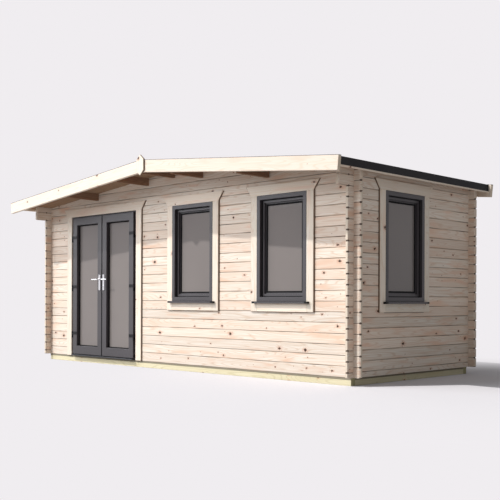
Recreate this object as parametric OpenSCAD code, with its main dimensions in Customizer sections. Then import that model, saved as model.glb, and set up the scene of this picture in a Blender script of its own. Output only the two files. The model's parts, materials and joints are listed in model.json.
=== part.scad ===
// Small log cabin: notched log walls, a low ridge roof, an outward double door and three fixed windows.
// Origin: the centre of the wall footprint, on the ground. X runs along the front, Y to the back, Z up.
// The front faces -Y. Lengths are millimetres.

/* [Cabin] */
// Length between the outer faces of the two end walls
cabin_length = 5760; // [5500:10:7200]
// Depth between the outer faces of the front and back walls
cabin_depth = 2330; // [1900:10:2900]
// Height of the underside of the roof boards at the outer faces of the end walls
eaves_height = 2264; // [2230:1:2500]
// Slope of the roof in degrees
roof_pitch = 5.5; // [3:0.1:6.6]

/* [Logs] */
// Thickness of a wall log
log_thickness = 44; // [34:1:58]
// Height that one log covers
log_height = 114; // [90:1:140]
// How far the log ends stand out past the crossing wall
log_end = 90; // [60:1:150]
// Depth of the V groove between two logs
groove_depth = 7; // [3:1:10]
// Height of the V groove on the face of the wall
groove_height = 14; // [6:1:20]
// How far the top side logs reach out as corbels in front of the front wall
corbel_reach = 250; // [120:5:400]
// How many side logs each corbel has
corbel_logs = 2; // [1:1:3]

/* [Base] */
// Height of the bearers that the walls stand on
bearer_height = 86; // [45:1:120]
// Width of a bearer
bearer_width = 70; // [45:1:95]
// How far the front bearer is set in from the wall face
bearer_inset_front = 4; // [0:1:20]
// How far the back bearer is set in from the wall face
bearer_inset_back = 30; // [0:1:36]
// How far the side bearers are set in from the wall face
bearer_inset_side = 32; // [0:1:36]
// Width of a floor joist
joist_width = 45; // [38:1:70]
// How many joists lie on each side of the centre joist
joists_each_side = 5; // [3:1:8]
// Thickness of the floor boards
floor_thickness = 28; // [18:1:32]
// Gap between the floor and the walls
floor_gap = 4; // [1:1:10]

/* [Roof] */
// Distance from the front wall to the front of the fascia
front_overhang = 530; // [400:5:800]
// Distance from the back wall to the back of the fascia
back_overhang = 157; // [110:1:400]
// Distance from the end wall to the edge of the eaves
eaves_overhang = 185; // [150:1:300]
// Thickness of the roof boards
roof_board_thickness = 19; // [16:1:28]
// Thickness of the insulation between the boards and the membrane
insulation_thickness = 50; // [30:1:80]
// Thickness of the roof membrane
membrane_thickness = 3; // [2:1:6]
// Height of the membrane that is turned down over the eaves board
membrane_drop = 82; // [40:1:90]
// Thickness of the eaves board
eaves_board_thickness = 22; // [16:1:28]
// How far the eaves board hangs below the roof boards
eaves_board_drop = 24; // [10:1:40]
// Height of a fascia board
fascia_height = 150; // [120:1:200]
// Thickness of a fascia board
fascia_thickness = 45; // [28:1:45]
// How far the fascia hangs below the roof boards
fascia_drop = 76; // [50:1:100]
// Clearance between the sloping layers of the roof, and over the walls and purlins
layer_gap = 0.1; // [0.05:0.05:1]
// How far the fascia stands out past the eaves
fascia_reach = 22; // [10:1:60]
// Width of the ornament board at the ridge
finial_width = 136; // [100:1:200]
// Height of the ornament board
finial_height = 255; // [200:1:320]
// Height of the sloping shoulder of the ornament board
finial_shoulder = 60; // [30:1:80]
// Thickness of the ornament board
finial_thickness = 20; // [15:1:28]

/* [Purlins] */
// Width of a purlin
purlin_width = 50; // [44:1:70]
// Height of a purlin
purlin_height = 95; // [80:1:120]
// Distance from the ridge to the centre of the inner purlins
inner_purlin = 530; // [400:5:800]
// Distance from the ridge to the centre of the outer purlins
outer_purlin = 1650; // [1200:5:2200]

/* [Openings] */
// Height of the top of the door and the windows
head_height = 2090; // [2072:1:2110]
// Clearance between a frame and the logs around it
frame_gap = 0.5; // [0.2:0.1:3]
// Width of the door opening between the logs
door_width = 1510; // [1200:10:1820]
// Distance from the left end wall to the door opening
door_from_left = 615; // [500:5:900]
// Width of a window opening
window_width = 752; // [600:2:900]
// Height of the bottom of a window opening
window_bottom = 880; // [700:5:1100]
// Distance from the right end wall to the right front window
window_from_right = 632; // [500:2:800]
// Distance from the front wall to the centre of the side window
side_window_from_front = 915; // [880:5:1300]

/* [Casings] */
// Width of the side boards around a window
casing_width = 98; // [70:1:120]
// Width of the side boards around the door
door_casing_width = 112; // [80:1:130]
// Thickness of the casing boards
casing_thickness = 20; // [15:1:28]
// Height of the head board
casing_head = 116; // [90:1:130]
// How far the head board flares out at its top
casing_flare = 80; // [0:1:90]
// Height of the board under a window
casing_bottom = 115; // [90:1:160]

/* [Door] */
// Space between the casing and the hinge side of a leaf
hinge_space = 46; // [40:1:60]
// Thickness of a leaf
leaf_thickness = 68; // [56:1:78]
// How far a leaf stands proud of the casing
leaf_proud = 6; // [0:1:10]
// Width of a leaf stile
leaf_stile = 98; // [80:1:130]
// Height of the top rail of a leaf
leaf_top_rail = 105; // [80:1:150]
// Height of the bottom rail of a leaf
leaf_bottom_rail = 118; // [90:1:250]
// Gap between the two leaves
meeting_gap = 14; // [13:1:20]
// Clearance between a leaf and its frame
leaf_clearance = 6; // [5:0.5:9]
// How far the stop reaches over the edge of a leaf
stop_overlap = 14; // [8:1:20]
// Thickness of the threshold
threshold_height = 20; // [15:1:35]
// How far the glass lies behind the face of a leaf
door_glass_recess = 48; // [30:1:48]
// Thickness of a sealed glass unit
glass_thickness = 14; // [6:1:16]

/* [Hinges and handles] */
// Heights of the three hinges on each leaf
hinge_heights = [390, 1060, 1770];
// Diameter of a hinge barrel
hinge_diameter = 16; // [14:1:20]
// Height of one half of a hinge barrel
hinge_half = 42; // [30:1:60]
// Diameter of the hinge pin
hinge_pin = 9; // [6:0.5:10]
// Clearance around a pin or a spindle
pin_clearance = 0.3; // [0.1:0.1:0.6]
// Length of the hinge plate on the leaf
hinge_plate = 90; // [50:1:94]
// Thickness of the hinge plates
hinge_plate_thickness = 4; // [3:0.5:5]
// Distance from the meeting edge of a leaf to the spindle
handle_inset = 40; // [34:1:50]
// Height of the centre of the lever spindle
lever_height = 1177; // [1000:1:1250]
// Length of a lever from its spindle to its tip
lever_length = 122; // [90:1:130]
// Diameter of a lever and its neck
lever_diameter = 18; // [16:1:22]
// Distance from the handle plate to the axis of the lever
lever_stand = 46; // [35:1:60]
// Width of a handle plate
plate_width = 40; // [34:1:50]
// Height of a handle plate
plate_height = 216; // [180:1:250]
// Thickness of a handle plate
plate_thickness = 9; // [5:1:12]
// Distance from the top of the plate down to the spindle
plate_top = 66; // [40:1:90]
// Side of the square spindle shaft
spindle_side = 8; // [6:1:9]

/* [Windows] */
// Width of the face of a window frame
window_frame_face = 50; // [40:1:65]
// How far the window frame stands proud of the casing
window_frame_proud = 2; // [0:1:6]
// How far the sash lies behind the face of the frame
sash_recess = 38; // [15:1:38]
// Thickness of a sash
sash_thickness = 54; // [40:1:54]
// Width of the face of a sash
sash_face = 36; // [30:1:60]
// How far the glass lies behind the face of the sash
sash_glass_recess = 30; // [15:1:36]
// Thickness of the drip sill
sill_thickness = 12; // [8:1:20]
// How far the drip sill stands out in front of the casing
sill_reach = 30; // [15:1:50]
// How far the drip sill runs past each side of the window
sill_side = 66; // [20:1:90]

/* [Hidden] */

// Colours
pine = [0.96, 0.90, 0.80];
sawn_pine = [0.80, 0.70, 0.58];
green_pine = [0.72, 0.70, 0.58];
anthracite = [0.30, 0.31, 0.34];
membrane_black = [0.10, 0.09, 0.10];
glass_grey = [0.45, 0.44, 0.44];
steel = [0.80, 0.81, 0.83];
hinge_black = [0.15, 0.15, 0.16];

// Overall
cut = 1; // overshoot of every cutting tool
half_length = cabin_length / 2;
half_depth = cabin_depth / 2;
inner_half_length = half_length - log_thickness;
inner_half_depth = half_depth - log_thickness;
end_x = half_length + log_end;
end_y = half_depth + log_end;
ridge_height = eaves_height + half_length * tan(roof_pitch);
courses = ceil((ridge_height - bearer_height) / log_height);
long_first_joint = bearer_height + log_height; // front and back walls start with a whole log
short_first_joint = bearer_height + log_height / 2; // end walls start with half a log
top_side_log = floor((eaves_height - short_first_joint) / log_height);
corbel_bottom = short_first_joint + (top_side_log - corbel_logs + 1) * log_height;
front_bearer_y = -half_depth + bearer_inset_front;
back_bearer_y = half_depth - bearer_inset_back;
side_bearer_x = half_length - bearer_inset_side;
joist_front = front_bearer_y + bearer_width;
joist_back = back_bearer_y - bearer_width;
joist_pitch = (side_bearer_x - bearer_width) / (joists_each_side + 1);
floor_top = bearer_height + floor_thickness;

// Roof planes
function soffit_z(x) = ridge_height - abs(x) * tan(roof_pitch);
function upright(thickness) = thickness / cos(roof_pitch);
board_bottom = layer_gap;
board_top = board_bottom + upright(roof_board_thickness);
insulation_bottom = board_top + layer_gap;
insulation_top = insulation_bottom + upright(insulation_thickness);
membrane_bottom = insulation_top + layer_gap;
membrane_top = membrane_bottom + upright(membrane_thickness);
eaves_x = half_length + eaves_overhang;
membrane_inner_x = eaves_x - membrane_thickness;
eaves_board_outer_x = membrane_inner_x - layer_gap;
eaves_board_inner_x = eaves_board_outer_x - eaves_board_thickness;
fascia_x = eaves_x + fascia_reach;
roof_front = -half_depth - front_overhang + fascia_thickness;
roof_back = half_depth + back_overhang - fascia_thickness;
purlin_centres = [0, -inner_purlin, -outer_purlin, inner_purlin, outer_purlin];

finial_raise = 11; // how far the ornament boards sit above the middle of the fascia

// Openings
door_left = -half_length + door_from_left;
door_right = door_left + door_width;
door_x = (door_left + door_right) / 2;
right_window_x = half_length - window_from_right - window_width / 2;
middle_window_x = (door_right + right_window_x - window_width / 2) / 2;
side_window_y = -half_depth + side_window_from_front;
// Each place: x, y and the turn about Z that makes local -Y point outwards
window_places = [
    [middle_window_x, -half_depth, 0],
    [right_window_x, -half_depth, 0],
    [half_length, side_window_y, 90]];
window_half = window_width / 2;
head_top = head_height + casing_head;
casing_toe = 8; // the square part of a head board's end, below its flare

// Door frame and leaves: x from the door's centre, y from the wall face inwards
door_half = door_width / 2;
lining_thickness = 14;
lining_step_y = 20;
leaf_front = -casing_thickness - leaf_proud;
leaf_back = leaf_front + leaf_thickness;
stop_front = leaf_back + leaf_clearance;
stop_thickness = 26;
stop_back = stop_front + stop_thickness;
leaf_width = (door_width - 2 * hinge_space - meeting_gap) / 2;
leaf_edge_x = door_half - hinge_space;
threshold_top = bearer_height + threshold_height;
threshold_front = -2;
leaf_bottom = threshold_top + leaf_clearance;
frame_top = head_height - frame_gap;
head_face = 12;
leaf_top = frame_top - head_face - leaf_clearance;
stop_in = hinge_space + stop_overlap - frame_gap;
stop_bottom = leaf_bottom + stop_overlap;
stop_top = leaf_top - stop_overlap;
glass_front = leaf_front + door_glass_recess;
glass_bottom = leaf_bottom + leaf_bottom_rail;
glass_top = leaf_top - leaf_top_rail;

// Hinge pins: half a barrel outside the leaf's edge and just in front of its face
pin_x = leaf_edge_x + 12;
pin_y = leaf_front - hinge_plate_thickness;
barrel_slit = 0.5;
hinge_arm = 10;

// Handles
handle_x = meeting_gap / 2 + handle_inset;
plate_bottom = lever_height + plate_top - plate_height;
spindle_hole = 14;
plate_front = leaf_front - plate_thickness;
lever_rest = 0.4; // running gap between a lever's neck and its bore, front and back

// Windows: x from the window's centre, y from the wall face inwards
window_face = -casing_thickness - window_frame_proud;
sash_front = window_face + sash_recess;
window_back = sash_front + sash_thickness;
sash_lap = 12; // how far the sash reaches behind the face of the frame
sash_half = window_half - frame_gap - window_frame_face;
pane_front = sash_front + sash_glass_recess;
sill_top = window_bottom + frame_gap;
sash_bottom = sill_top + window_frame_face;
sash_ceiling = frame_top - window_frame_face;

// The outline of a log wall on end: width in x, height in y, a V groove at each joint on both faces
function log_joints(bottom, top, first) = [
    for (k = [0 : courses])
        let (z = first + k * log_height)
        if (z - groove_height / 2 > bottom && z + groove_height / 2 < top) z];

function groove_up(face, inward, z) = [
    [face, z - groove_height / 2], [face + inward, z], [face, z + groove_height / 2]];

function groove_down(face, inward, z) = [
    [face, z + groove_height / 2], [face + inward, z], [face, z - groove_height / 2]];

function log_outline(bottom, top, joints) = concat(
    [[0, bottom]],
    [for (z = joints) each groove_up(0, groove_depth, z)],
    [[0, top], [log_thickness, top]],
    [for (i = [len(joints) - 1 : -1 : 0]) each groove_down(log_thickness, -groove_depth, joints[i])],
    [[log_thickness, bottom]]);

// Logs that run along X, from x0 to x1, with their front face at y0
module long_logs(y0, x0, x1, bottom, top)
    translate([x0, y0, 0])
        rotate([90, 0, 90])
            linear_extrude(height = x1 - x0)
                polygon(log_outline(bottom, top, log_joints(bottom, top, long_first_joint)));

// Logs that run along Y, from y0 to y1, with their left face at x0
module short_logs(x0, y0, y1, bottom, top)
    translate([x0, y1, 0])
        rotate([90, 0, 0])
            linear_extrude(height = y1 - y0)
                polygon(log_outline(bottom, top, log_joints(bottom, top, short_first_joint)));

// Everything below the roof boards
module under_roof() {
    reach = end_x + cut;
    depth = end_y + corbel_reach;
    translate([0, depth, 0])
        rotate([90, 0, 0])
            linear_extrude(height = 2 * depth)
                polygon([[-reach, 0], [reach, 0], [reach, soffit_z(reach)],
                    [0, ridge_height], [-reach, soffit_z(reach)]]);
}

// The quarter-height notches that the crossing logs leave in a wall, centred on its joints
module notches(x, y, first, wide_x, wide_y)
    for (k = [0 : courses + 1])
        translate([x - wide_x / 2, y - wide_y / 2, first + (k - 1) * log_height - log_height / 4])
            cube([wide_x, wide_y, log_height / 2]);

module long_wall_notches(y)
    for (side = [-1, 1])
        notches(side * (half_length - log_thickness / 2), y, long_first_joint,
            log_thickness, log_thickness + 2 * cut);

module short_wall_notches(x)
    for (side = [-1, 1])
        notches(x, side * (half_depth - log_thickness / 2), short_first_joint,
            log_thickness + 2 * cut, log_thickness);

// The five holes that the purlins pass through
module purlin_holes()
    for (x = purlin_centres)
        translate([x - purlin_width / 2, -half_depth - cut, purlin_bottom(x)])
            cube([purlin_width, cabin_depth + 2 * cut, 2 * purlin_height]);

function purlin_bottom(x) = soffit_z(x) - purlin_height;

module window_hole()
    translate([-window_half - frame_gap, -cut, window_bottom])
        cube([window_width + 2 * frame_gap, log_thickness + 2 * cut, head_height - window_bottom]);

module at_windows()
    for (place = window_places)
        translate([place[0], place[1], 0])
            rotate([0, 0, place[2]])
                children();

module at_door()
    translate([door_x, -half_depth, 0])
        children();

// A board with its face in the XZ plane, as thick as it is deep in Y
module board_xz(points, y0, y1)
    translate([0, y1, 0])
        rotate([90, 0, 0])
            linear_extrude(height = y1 - y0)
                polygon(points);

// A block between two corners
module block(low, high)
    translate(low)
        cube(high - low);

// The left copy of a pair is the mirror image of the right one
module mirror_x(side) {
    if (side < 0) mirror([1, 0, 0]) children();
    else children();
}

// ---- base ----

module long_bearers()
    color(green_pine) {
        block([-side_bearer_x, front_bearer_y, 0],
            [side_bearer_x, front_bearer_y + bearer_width, bearer_height]);
        block([-side_bearer_x, back_bearer_y - bearer_width, 0],
            [side_bearer_x, back_bearer_y, bearer_height]);
    }

module side_bearers()
    color(green_pine)
        for (side = [-1, 1])
            mirror_x(side)
                block([side_bearer_x - bearer_width, joist_front, 0],
                    [side_bearer_x, joist_back, bearer_height]);

module floor_joists()
    color(green_pine)
        for (i = [-joists_each_side : joists_each_side])
            block([i * joist_pitch - joist_width / 2, joist_front, 0],
                [i * joist_pitch + joist_width / 2, joist_back, bearer_height]);

module floor()
    color(sawn_pine)
        difference() {
            block([-inner_half_length + floor_gap, -inner_half_depth + floor_gap, bearer_height],
                [inner_half_length - floor_gap, inner_half_depth - floor_gap, floor_top]);
            at_door()
                block([-door_half - frame_gap, 0, bearer_height - cut],
                    [door_half + frame_gap, stop_back + frame_gap, floor_top + cut]);
        }

// ---- walls ----

module front_wall_left()
    color(pine)
        difference() {
            long_logs(-half_depth, -end_x, door_left, bearer_height, head_height);
            long_wall_notches(-half_depth + log_thickness / 2);
        }

module front_wall_right()
    color(pine)
        difference() {
            long_logs(-half_depth, door_right, end_x, bearer_height, head_height);
            long_wall_notches(-half_depth + log_thickness / 2);
            at_windows() window_hole();
        }

module front_gable()
    color(pine)
        difference() {
            intersection() {
                long_logs(-half_depth, -end_x, end_x, head_height, ridge_height + cut);
                under_roof();
            }
            long_wall_notches(-half_depth + log_thickness / 2);
            purlin_holes();
        }

module back_wall()
    color(pine)
        difference() {
            intersection() {
                long_logs(half_depth - log_thickness, -end_x, end_x, bearer_height, ridge_height + cut);
                under_roof();
            }
            long_wall_notches(half_depth - log_thickness / 2);
            purlin_holes();
        }

// A side wall with its left face at x0, its top two logs running out to the front as corbels
module side_wall_logs(x0)
    difference() {
        intersection() {
            union() {
                short_logs(x0, -end_y, end_y, bearer_height, ridge_height);
                short_logs(x0, -half_depth - corbel_reach, -half_depth, corbel_bottom, ridge_height);
            }
            under_roof();
        }
        short_wall_notches(x0 + log_thickness / 2);
    }

module left_wall()
    color(pine)
        side_wall_logs(-half_length);

module right_wall()
    color(pine)
        difference() {
            side_wall_logs(inner_half_length);
            at_windows() window_hole();
        }

// ---- roof ----

// The section of a purlin: square below, cut to the roof slope above
module purlin(x) {
    left = x - purlin_width / 2;
    right = x + purlin_width / 2;
    crown = x == 0 ? [[0, ridge_height]] : [];
    board_xz(concat([[left, purlin_bottom(x)], [right, purlin_bottom(x)], [right, soffit_z(right)]],
        crown, [[left, soffit_z(left)]]), roof_front, roof_back);
}

module ridge_purlin()
    color(sawn_pine)
        purlin(0);

module left_purlins()
    color(sawn_pine)
        for (x = [-inner_purlin, -outer_purlin])
            purlin(x);

module right_purlins()
    color(sawn_pine)
        for (x = [inner_purlin, outer_purlin])
            purlin(x);

// One layer of the right roof half, between two heights above the soffit and out to reach
module roof_layer(low, high, reach)
    board_xz([[0, ridge_height + low], [reach, soffit_z(reach) + low],
        [reach, soffit_z(reach) + high], [0, ridge_height + high]], roof_front, roof_back);

module roof_boards_right()
    color(sawn_pine)
        roof_layer(board_bottom, board_top, eaves_board_inner_x);

module roof_boards_left()
    color(sawn_pine)
        mirror_x(-1)
            roof_layer(board_bottom, board_top, eaves_board_inner_x);

module roof_insulation()
    color([0.85, 0.85, 0.80])
        for (side = [-1, 1])
            mirror_x(side)
                roof_layer(insulation_bottom, insulation_top, eaves_board_inner_x);

// The membrane covers one half and turns down over the eaves board
module membrane_half()
    board_xz([[0, ridge_height + membrane_bottom],
        [membrane_inner_x, soffit_z(membrane_inner_x) + membrane_bottom],
        [membrane_inner_x, soffit_z(eaves_x) + membrane_top - membrane_drop],
        [eaves_x, soffit_z(eaves_x) + membrane_top - membrane_drop],
        [eaves_x, soffit_z(eaves_x) + membrane_top],
        [0, ridge_height + membrane_top]], roof_front, roof_back);

module roof_membrane_right()
    color(membrane_black)
        membrane_half();

module roof_membrane_left()
    color(membrane_black)
        mirror_x(-1)
            membrane_half();

module eaves_boards()
    color(pine)
        for (side = [-1, 1])
            mirror_x(side)
                board_xz([[eaves_board_inner_x, soffit_z(eaves_x) - eaves_board_drop],
                    [eaves_board_outer_x, soffit_z(eaves_x) - eaves_board_drop],
                    [eaves_board_outer_x, soffit_z(eaves_board_outer_x) + insulation_top],
                    [eaves_board_inner_x, soffit_z(eaves_board_inner_x) + insulation_top]],
                    roof_front, roof_back);

// A fascia half on the right side: square ends, mitred at the ridge
module fascia_half(y0)
    board_xz([[0, ridge_height - upright(fascia_drop)],
        [fascia_x, soffit_z(fascia_x) - upright(fascia_drop)],
        [fascia_x + fascia_height * sin(roof_pitch),
            soffit_z(fascia_x) - upright(fascia_drop) + fascia_height * cos(roof_pitch)],
        [0, ridge_height - upright(fascia_drop) + upright(fascia_height)]],
        y0, y0 + fascia_thickness);

module front_fascia_right()
    color(pine)
        fascia_half(roof_front - fascia_thickness);

module front_fascia_left()
    color(pine)
        mirror_x(-1)
            fascia_half(roof_front - fascia_thickness);

module back_fascia_right()
    color(pine)
        fascia_half(roof_back);

module back_fascia_left()
    color(pine)
        mirror_x(-1)
            fascia_half(roof_back);

// A six-sided board over the joint of the fascia halves
module finial(y0) {
    middle = ridge_height - upright(fascia_drop) + upright(fascia_height) / 2 + finial_raise;
    bottom = middle - finial_height / 2;
    top = middle + finial_height / 2;
    side = finial_width / 2;
    board_xz([[0, bottom], [side, bottom + finial_shoulder], [side, top - finial_shoulder],
        [0, top], [-side, top - finial_shoulder], [-side, bottom + finial_shoulder]],
        y0, y0 + finial_thickness);
}

module finials()
    color(pine) {
        finial(roof_front - fascia_thickness - finial_thickness);
        finial(roof_back + fascia_thickness);
    }

// ---- door frame ----

// The section of a jamb seen from above, with its outer edge at x = 0
module jamb_section()
    polygon([[0, 0], [lining_thickness, 0], [lining_thickness, lining_step_y],
        [hinge_space - leaf_clearance - frame_gap, lining_step_y],
        [hinge_space - leaf_clearance - frame_gap, stop_front],
        [stop_in, stop_front], [stop_in, stop_back], [0, stop_back]]);

module door_jambs()
    color(anthracite)
        at_door()
            for (side = [-1, 1])
                mirror_x(side)
                    translate([door_half - frame_gap, 0, threshold_top])
                        mirror([1, 0, 0])
                            linear_extrude(height = frame_top - head_face - threshold_top)
                                jamb_section();

module door_head()
    color(anthracite)
        at_door() {
            block([-door_half + frame_gap, 0, frame_top - head_face],
                [door_half - frame_gap, stop_back, frame_top]);
            block([-door_half + frame_gap + stop_in, stop_front, stop_top],
                [door_half - frame_gap - stop_in, stop_back, frame_top]);
        }

module door_threshold()
    color(hinge_black)
        at_door() {
            block([-door_half + frame_gap, threshold_front, bearer_height],
                [door_half - frame_gap, stop_back, threshold_top]);
            block([-door_half + frame_gap + stop_in, stop_front, bearer_height],
                [door_half - frame_gap - stop_in, stop_back, stop_bottom]);
        }

// ---- casings ----

// A pair of side boards beside an opening of the given half width
module side_boards(half, width, bottom)
    for (side = [-1, 1])
        mirror_x(side)
            block([half, -casing_thickness, bottom], [half + width, 0, head_height]);

module casing_side_boards()
    color(pine) {
        at_door() side_boards(door_half, door_casing_width, bearer_height);
        at_windows() side_boards(window_half, casing_width, window_bottom - casing_bottom);
    }

// A head board whose ends slope outwards above the side boards
module head_board(foot)
    board_xz([[-foot, head_height], [foot, head_height], [foot, head_height + casing_toe],
        [foot + casing_flare, head_top], [-foot - casing_flare, head_top],
        [-foot, head_height + casing_toe]], -casing_thickness, 0);

module casing_heads()
    color(pine) {
        at_door() head_board(door_half + door_casing_width);
        at_windows() head_board(window_half + casing_width);
    }

module casing_bottoms()
    color(pine)
        at_windows()
            block([-window_half, -casing_thickness, window_bottom - casing_bottom],
                [window_half, 0, window_bottom - sill_thickness]);

// ---- windows ----

// A rectangular ring: outer half width, bottom, top, width of its face and depth range
module ring(half, bottom, top, face, y0, y1)
    difference() {
        block([-half, y0, bottom], [half, y1, top]);
        block([-half + face, y0 - cut, bottom + face], [half - face, y1 + cut, top - face]);
    }

module window_frames()
    color(anthracite)
        at_windows()
            difference() {
                ring(window_half - frame_gap, sill_top, frame_top, window_frame_face,
                    window_face, window_back);
                block([-sash_half - sash_lap, sash_front, sash_bottom - sash_lap],
                    [sash_half + sash_lap, window_back + cut, sash_ceiling + sash_lap]);
            }

// The sash fills the rebate at the back of the frame
module window_sashes()
    color(anthracite)
        at_windows()
            ring(sash_half + sash_lap - frame_gap, sash_bottom - sash_lap + frame_gap,
                sash_ceiling + sash_lap - frame_gap, sash_face + sash_lap - frame_gap,
                sash_front + frame_gap, window_back);

module window_glass()
    color(glass_grey)
        at_windows()
            block([-sash_half + sash_face + frame_gap, pane_front, sash_bottom + sash_face + frame_gap],
                [sash_half - sash_face - frame_gap, pane_front + glass_thickness,
                    sash_ceiling - sash_face - frame_gap]);

module window_sills()
    color(anthracite)
        at_windows()
            block([-window_half - sill_side, -casing_thickness - sill_reach, window_bottom - sill_thickness],
                [window_half + sill_side, -casing_thickness, window_bottom]);

// ---- door leaves: built for the left leaf, mirrored for the right ----

module leaf()
    difference() {
        block([-leaf_edge_x, leaf_front, leaf_bottom], [-leaf_edge_x + leaf_width, leaf_back, leaf_top]);
        block([-leaf_edge_x + leaf_stile, leaf_front - cut, glass_bottom],
            [-leaf_edge_x + leaf_width - leaf_stile, leaf_back + cut, glass_top]);
        translate([-handle_x, leaf_front - cut, lever_height])
            rotate([-90, 0, 0])
                cylinder(d = spindle_hole, h = leaf_thickness + 2 * cut, $fn = 48);
    }

module pane()
    block([-leaf_edge_x + leaf_stile + frame_gap, glass_front, glass_bottom + frame_gap],
        [-leaf_edge_x + leaf_width - leaf_stile - frame_gap, glass_front + glass_thickness,
            glass_top - frame_gap]);

// The moving half of each hinge: an upper barrel with a bore, and its plate on the leaf
module leaf_hinges()
    for (z = hinge_heights)
        difference() {
            union() {
                translate([-pin_x, pin_y, z])
                    cylinder(d = hinge_diameter, h = hinge_half, $fn = 48);
                block([-pin_x, leaf_front - hinge_plate_thickness, z],
                    [-leaf_edge_x + hinge_plate, leaf_front, z + hinge_half]);
            }
            translate([-pin_x, pin_y, z - cut])
                cylinder(d = hinge_pin + 2 * pin_clearance, h = hinge_half + 2 * cut, $fn = 48);
        }

// The fixed half: a lower barrel with the pin, and its arm back to the jamb
module fixed_hinges()
    for (z = hinge_heights) {
        translate([-pin_x, pin_y, z - barrel_slit - hinge_half])
            cylinder(d = hinge_diameter, h = hinge_half, $fn = 48);
        translate([-pin_x, pin_y, z - barrel_slit - cut])
            cylinder(d = hinge_pin, h = hinge_half + cut, $fn = 48);
        block([-pin_x - hinge_arm / 2, pin_y, z - barrel_slit - hinge_half],
            [-pin_x + hinge_arm / 2, lining_step_y, z - barrel_slit]);
    }

// A plate on each face of the stile, bored for the lever's neck
module handle_plates()
    for (y = [plate_front, leaf_back])
        difference() {
            block([-handle_x - plate_width / 2, y, plate_bottom],
                [-handle_x + plate_width / 2, y + plate_thickness, plate_bottom + plate_height]);
            translate([-handle_x, y - cut, lever_height])
                rotate([-90, 0, 0])
                    cylinder(d = lever_diameter + 2 * pin_clearance, h = plate_thickness + 2 * cut, $fn = 48);
        }

// Both levers of a leaf on one spindle: necks through the plates, grips towards the hinge side
module lever_pair() {
    for (face = [[plate_front, -1, leaf_front - lever_rest],
            [leaf_back + plate_thickness, 1, leaf_back + lever_rest]]) {
        axis_y = face[0] + face[1] * lever_stand;
        translate([-handle_x, min(axis_y, face[2]), lever_height])
            rotate([-90, 0, 0])
                cylinder(d = lever_diameter, h = abs(axis_y - face[2]), $fn = 48);
        translate([-handle_x, axis_y, lever_height])
            sphere(d = lever_diameter, $fn = 48);
        translate([-handle_x, axis_y, lever_height])
            rotate([0, -90, 0])
                cylinder(d = lever_diameter, h = lever_length, $fn = 48);
        translate([-handle_x - lever_length, axis_y, lever_height])
            sphere(d = lever_diameter, $fn = 48);
    }
    block([-handle_x - spindle_side / 2, leaf_front - cut, lever_height - spindle_side / 2],
        [-handle_x + spindle_side / 2, leaf_back + cut, lever_height + spindle_side / 2]);
}

module door_leaf_left() color(anthracite) at_door() leaf();
module door_leaf_right() color(anthracite) at_door() mirror_x(-1) leaf();
module door_glass_left() color(glass_grey) at_door() pane();
module door_glass_right() color(glass_grey) at_door() mirror_x(-1) pane();
module leaf_hinges_left() color(hinge_black) at_door() leaf_hinges();
module leaf_hinges_right() color(hinge_black) at_door() mirror_x(-1) leaf_hinges();
module handle_plates_left() color(steel) at_door() handle_plates();
module handle_plates_right() color(steel) at_door() mirror_x(-1) handle_plates();
module lever_left() color(steel) at_door() lever_pair();
module lever_right() color(steel) at_door() mirror_x(-1) lever_pair();

module frame_hinges()
    color(hinge_black)
        at_door()
            for (side = [-1, 1])
                mirror_x(side)
                    mirror_x(-1)
                        fixed_hinges();

long_bearers();
side_bearers();
floor_joists();
floor();
front_wall_left();
front_wall_right();
front_gable();
back_wall();
left_wall();
right_wall();
ridge_purlin();
left_purlins();
right_purlins();
roof_boards_left();
roof_boards_right();
roof_insulation();
roof_membrane_left();
roof_membrane_right();
eaves_boards();
front_fascia_left();
front_fascia_right();
back_fascia_left();
back_fascia_right();
finials();
door_jambs();
door_head();
door_threshold();
casing_side_boards();
casing_heads();
casing_bottoms();
window_frames();
window_sashes();
window_glass();
window_sills();
door_leaf_left();
door_leaf_right();
door_glass_left();
door_glass_right();
frame_hinges();
leaf_hinges_left();
leaf_hinges_right();
handle_plates_left();
handle_plates_right();
lever_left();
lever_right();
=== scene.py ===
# %% [markdown]
# # A garden log cabin
# This lesson dresses a log cabin that was built as exact solids: 44 mm spruce logs with crossed corners, a
# low ridge roof, a glazed double door and three fixed windows. The solids give the cabin's sizes. Here they
# get eased edges, separate boards, seals, screws and materials. All lengths are in metres, apart from the
# camera's sensor and lens, which Blender takes in millimetres.

# %% Load the cabin's solids
import json
import math
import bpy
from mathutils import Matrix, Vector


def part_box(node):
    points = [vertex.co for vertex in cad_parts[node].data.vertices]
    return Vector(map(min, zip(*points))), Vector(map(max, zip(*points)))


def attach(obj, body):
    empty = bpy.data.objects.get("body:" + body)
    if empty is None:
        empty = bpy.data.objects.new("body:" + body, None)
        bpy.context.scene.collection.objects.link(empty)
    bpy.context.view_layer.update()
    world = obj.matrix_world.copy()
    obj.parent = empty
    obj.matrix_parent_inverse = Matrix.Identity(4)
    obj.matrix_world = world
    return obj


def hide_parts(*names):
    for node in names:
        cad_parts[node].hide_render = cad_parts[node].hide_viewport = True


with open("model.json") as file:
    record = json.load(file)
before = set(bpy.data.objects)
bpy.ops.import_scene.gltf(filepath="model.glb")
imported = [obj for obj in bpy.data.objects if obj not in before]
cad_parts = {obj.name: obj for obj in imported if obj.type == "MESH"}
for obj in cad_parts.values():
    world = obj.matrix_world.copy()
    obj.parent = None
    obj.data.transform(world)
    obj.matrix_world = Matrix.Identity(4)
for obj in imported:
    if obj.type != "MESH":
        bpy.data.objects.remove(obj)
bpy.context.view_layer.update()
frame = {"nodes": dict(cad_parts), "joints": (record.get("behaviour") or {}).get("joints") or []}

from types import SimpleNamespace

import bmesh
import bpy
from mathutils import Matrix, Vector

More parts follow.
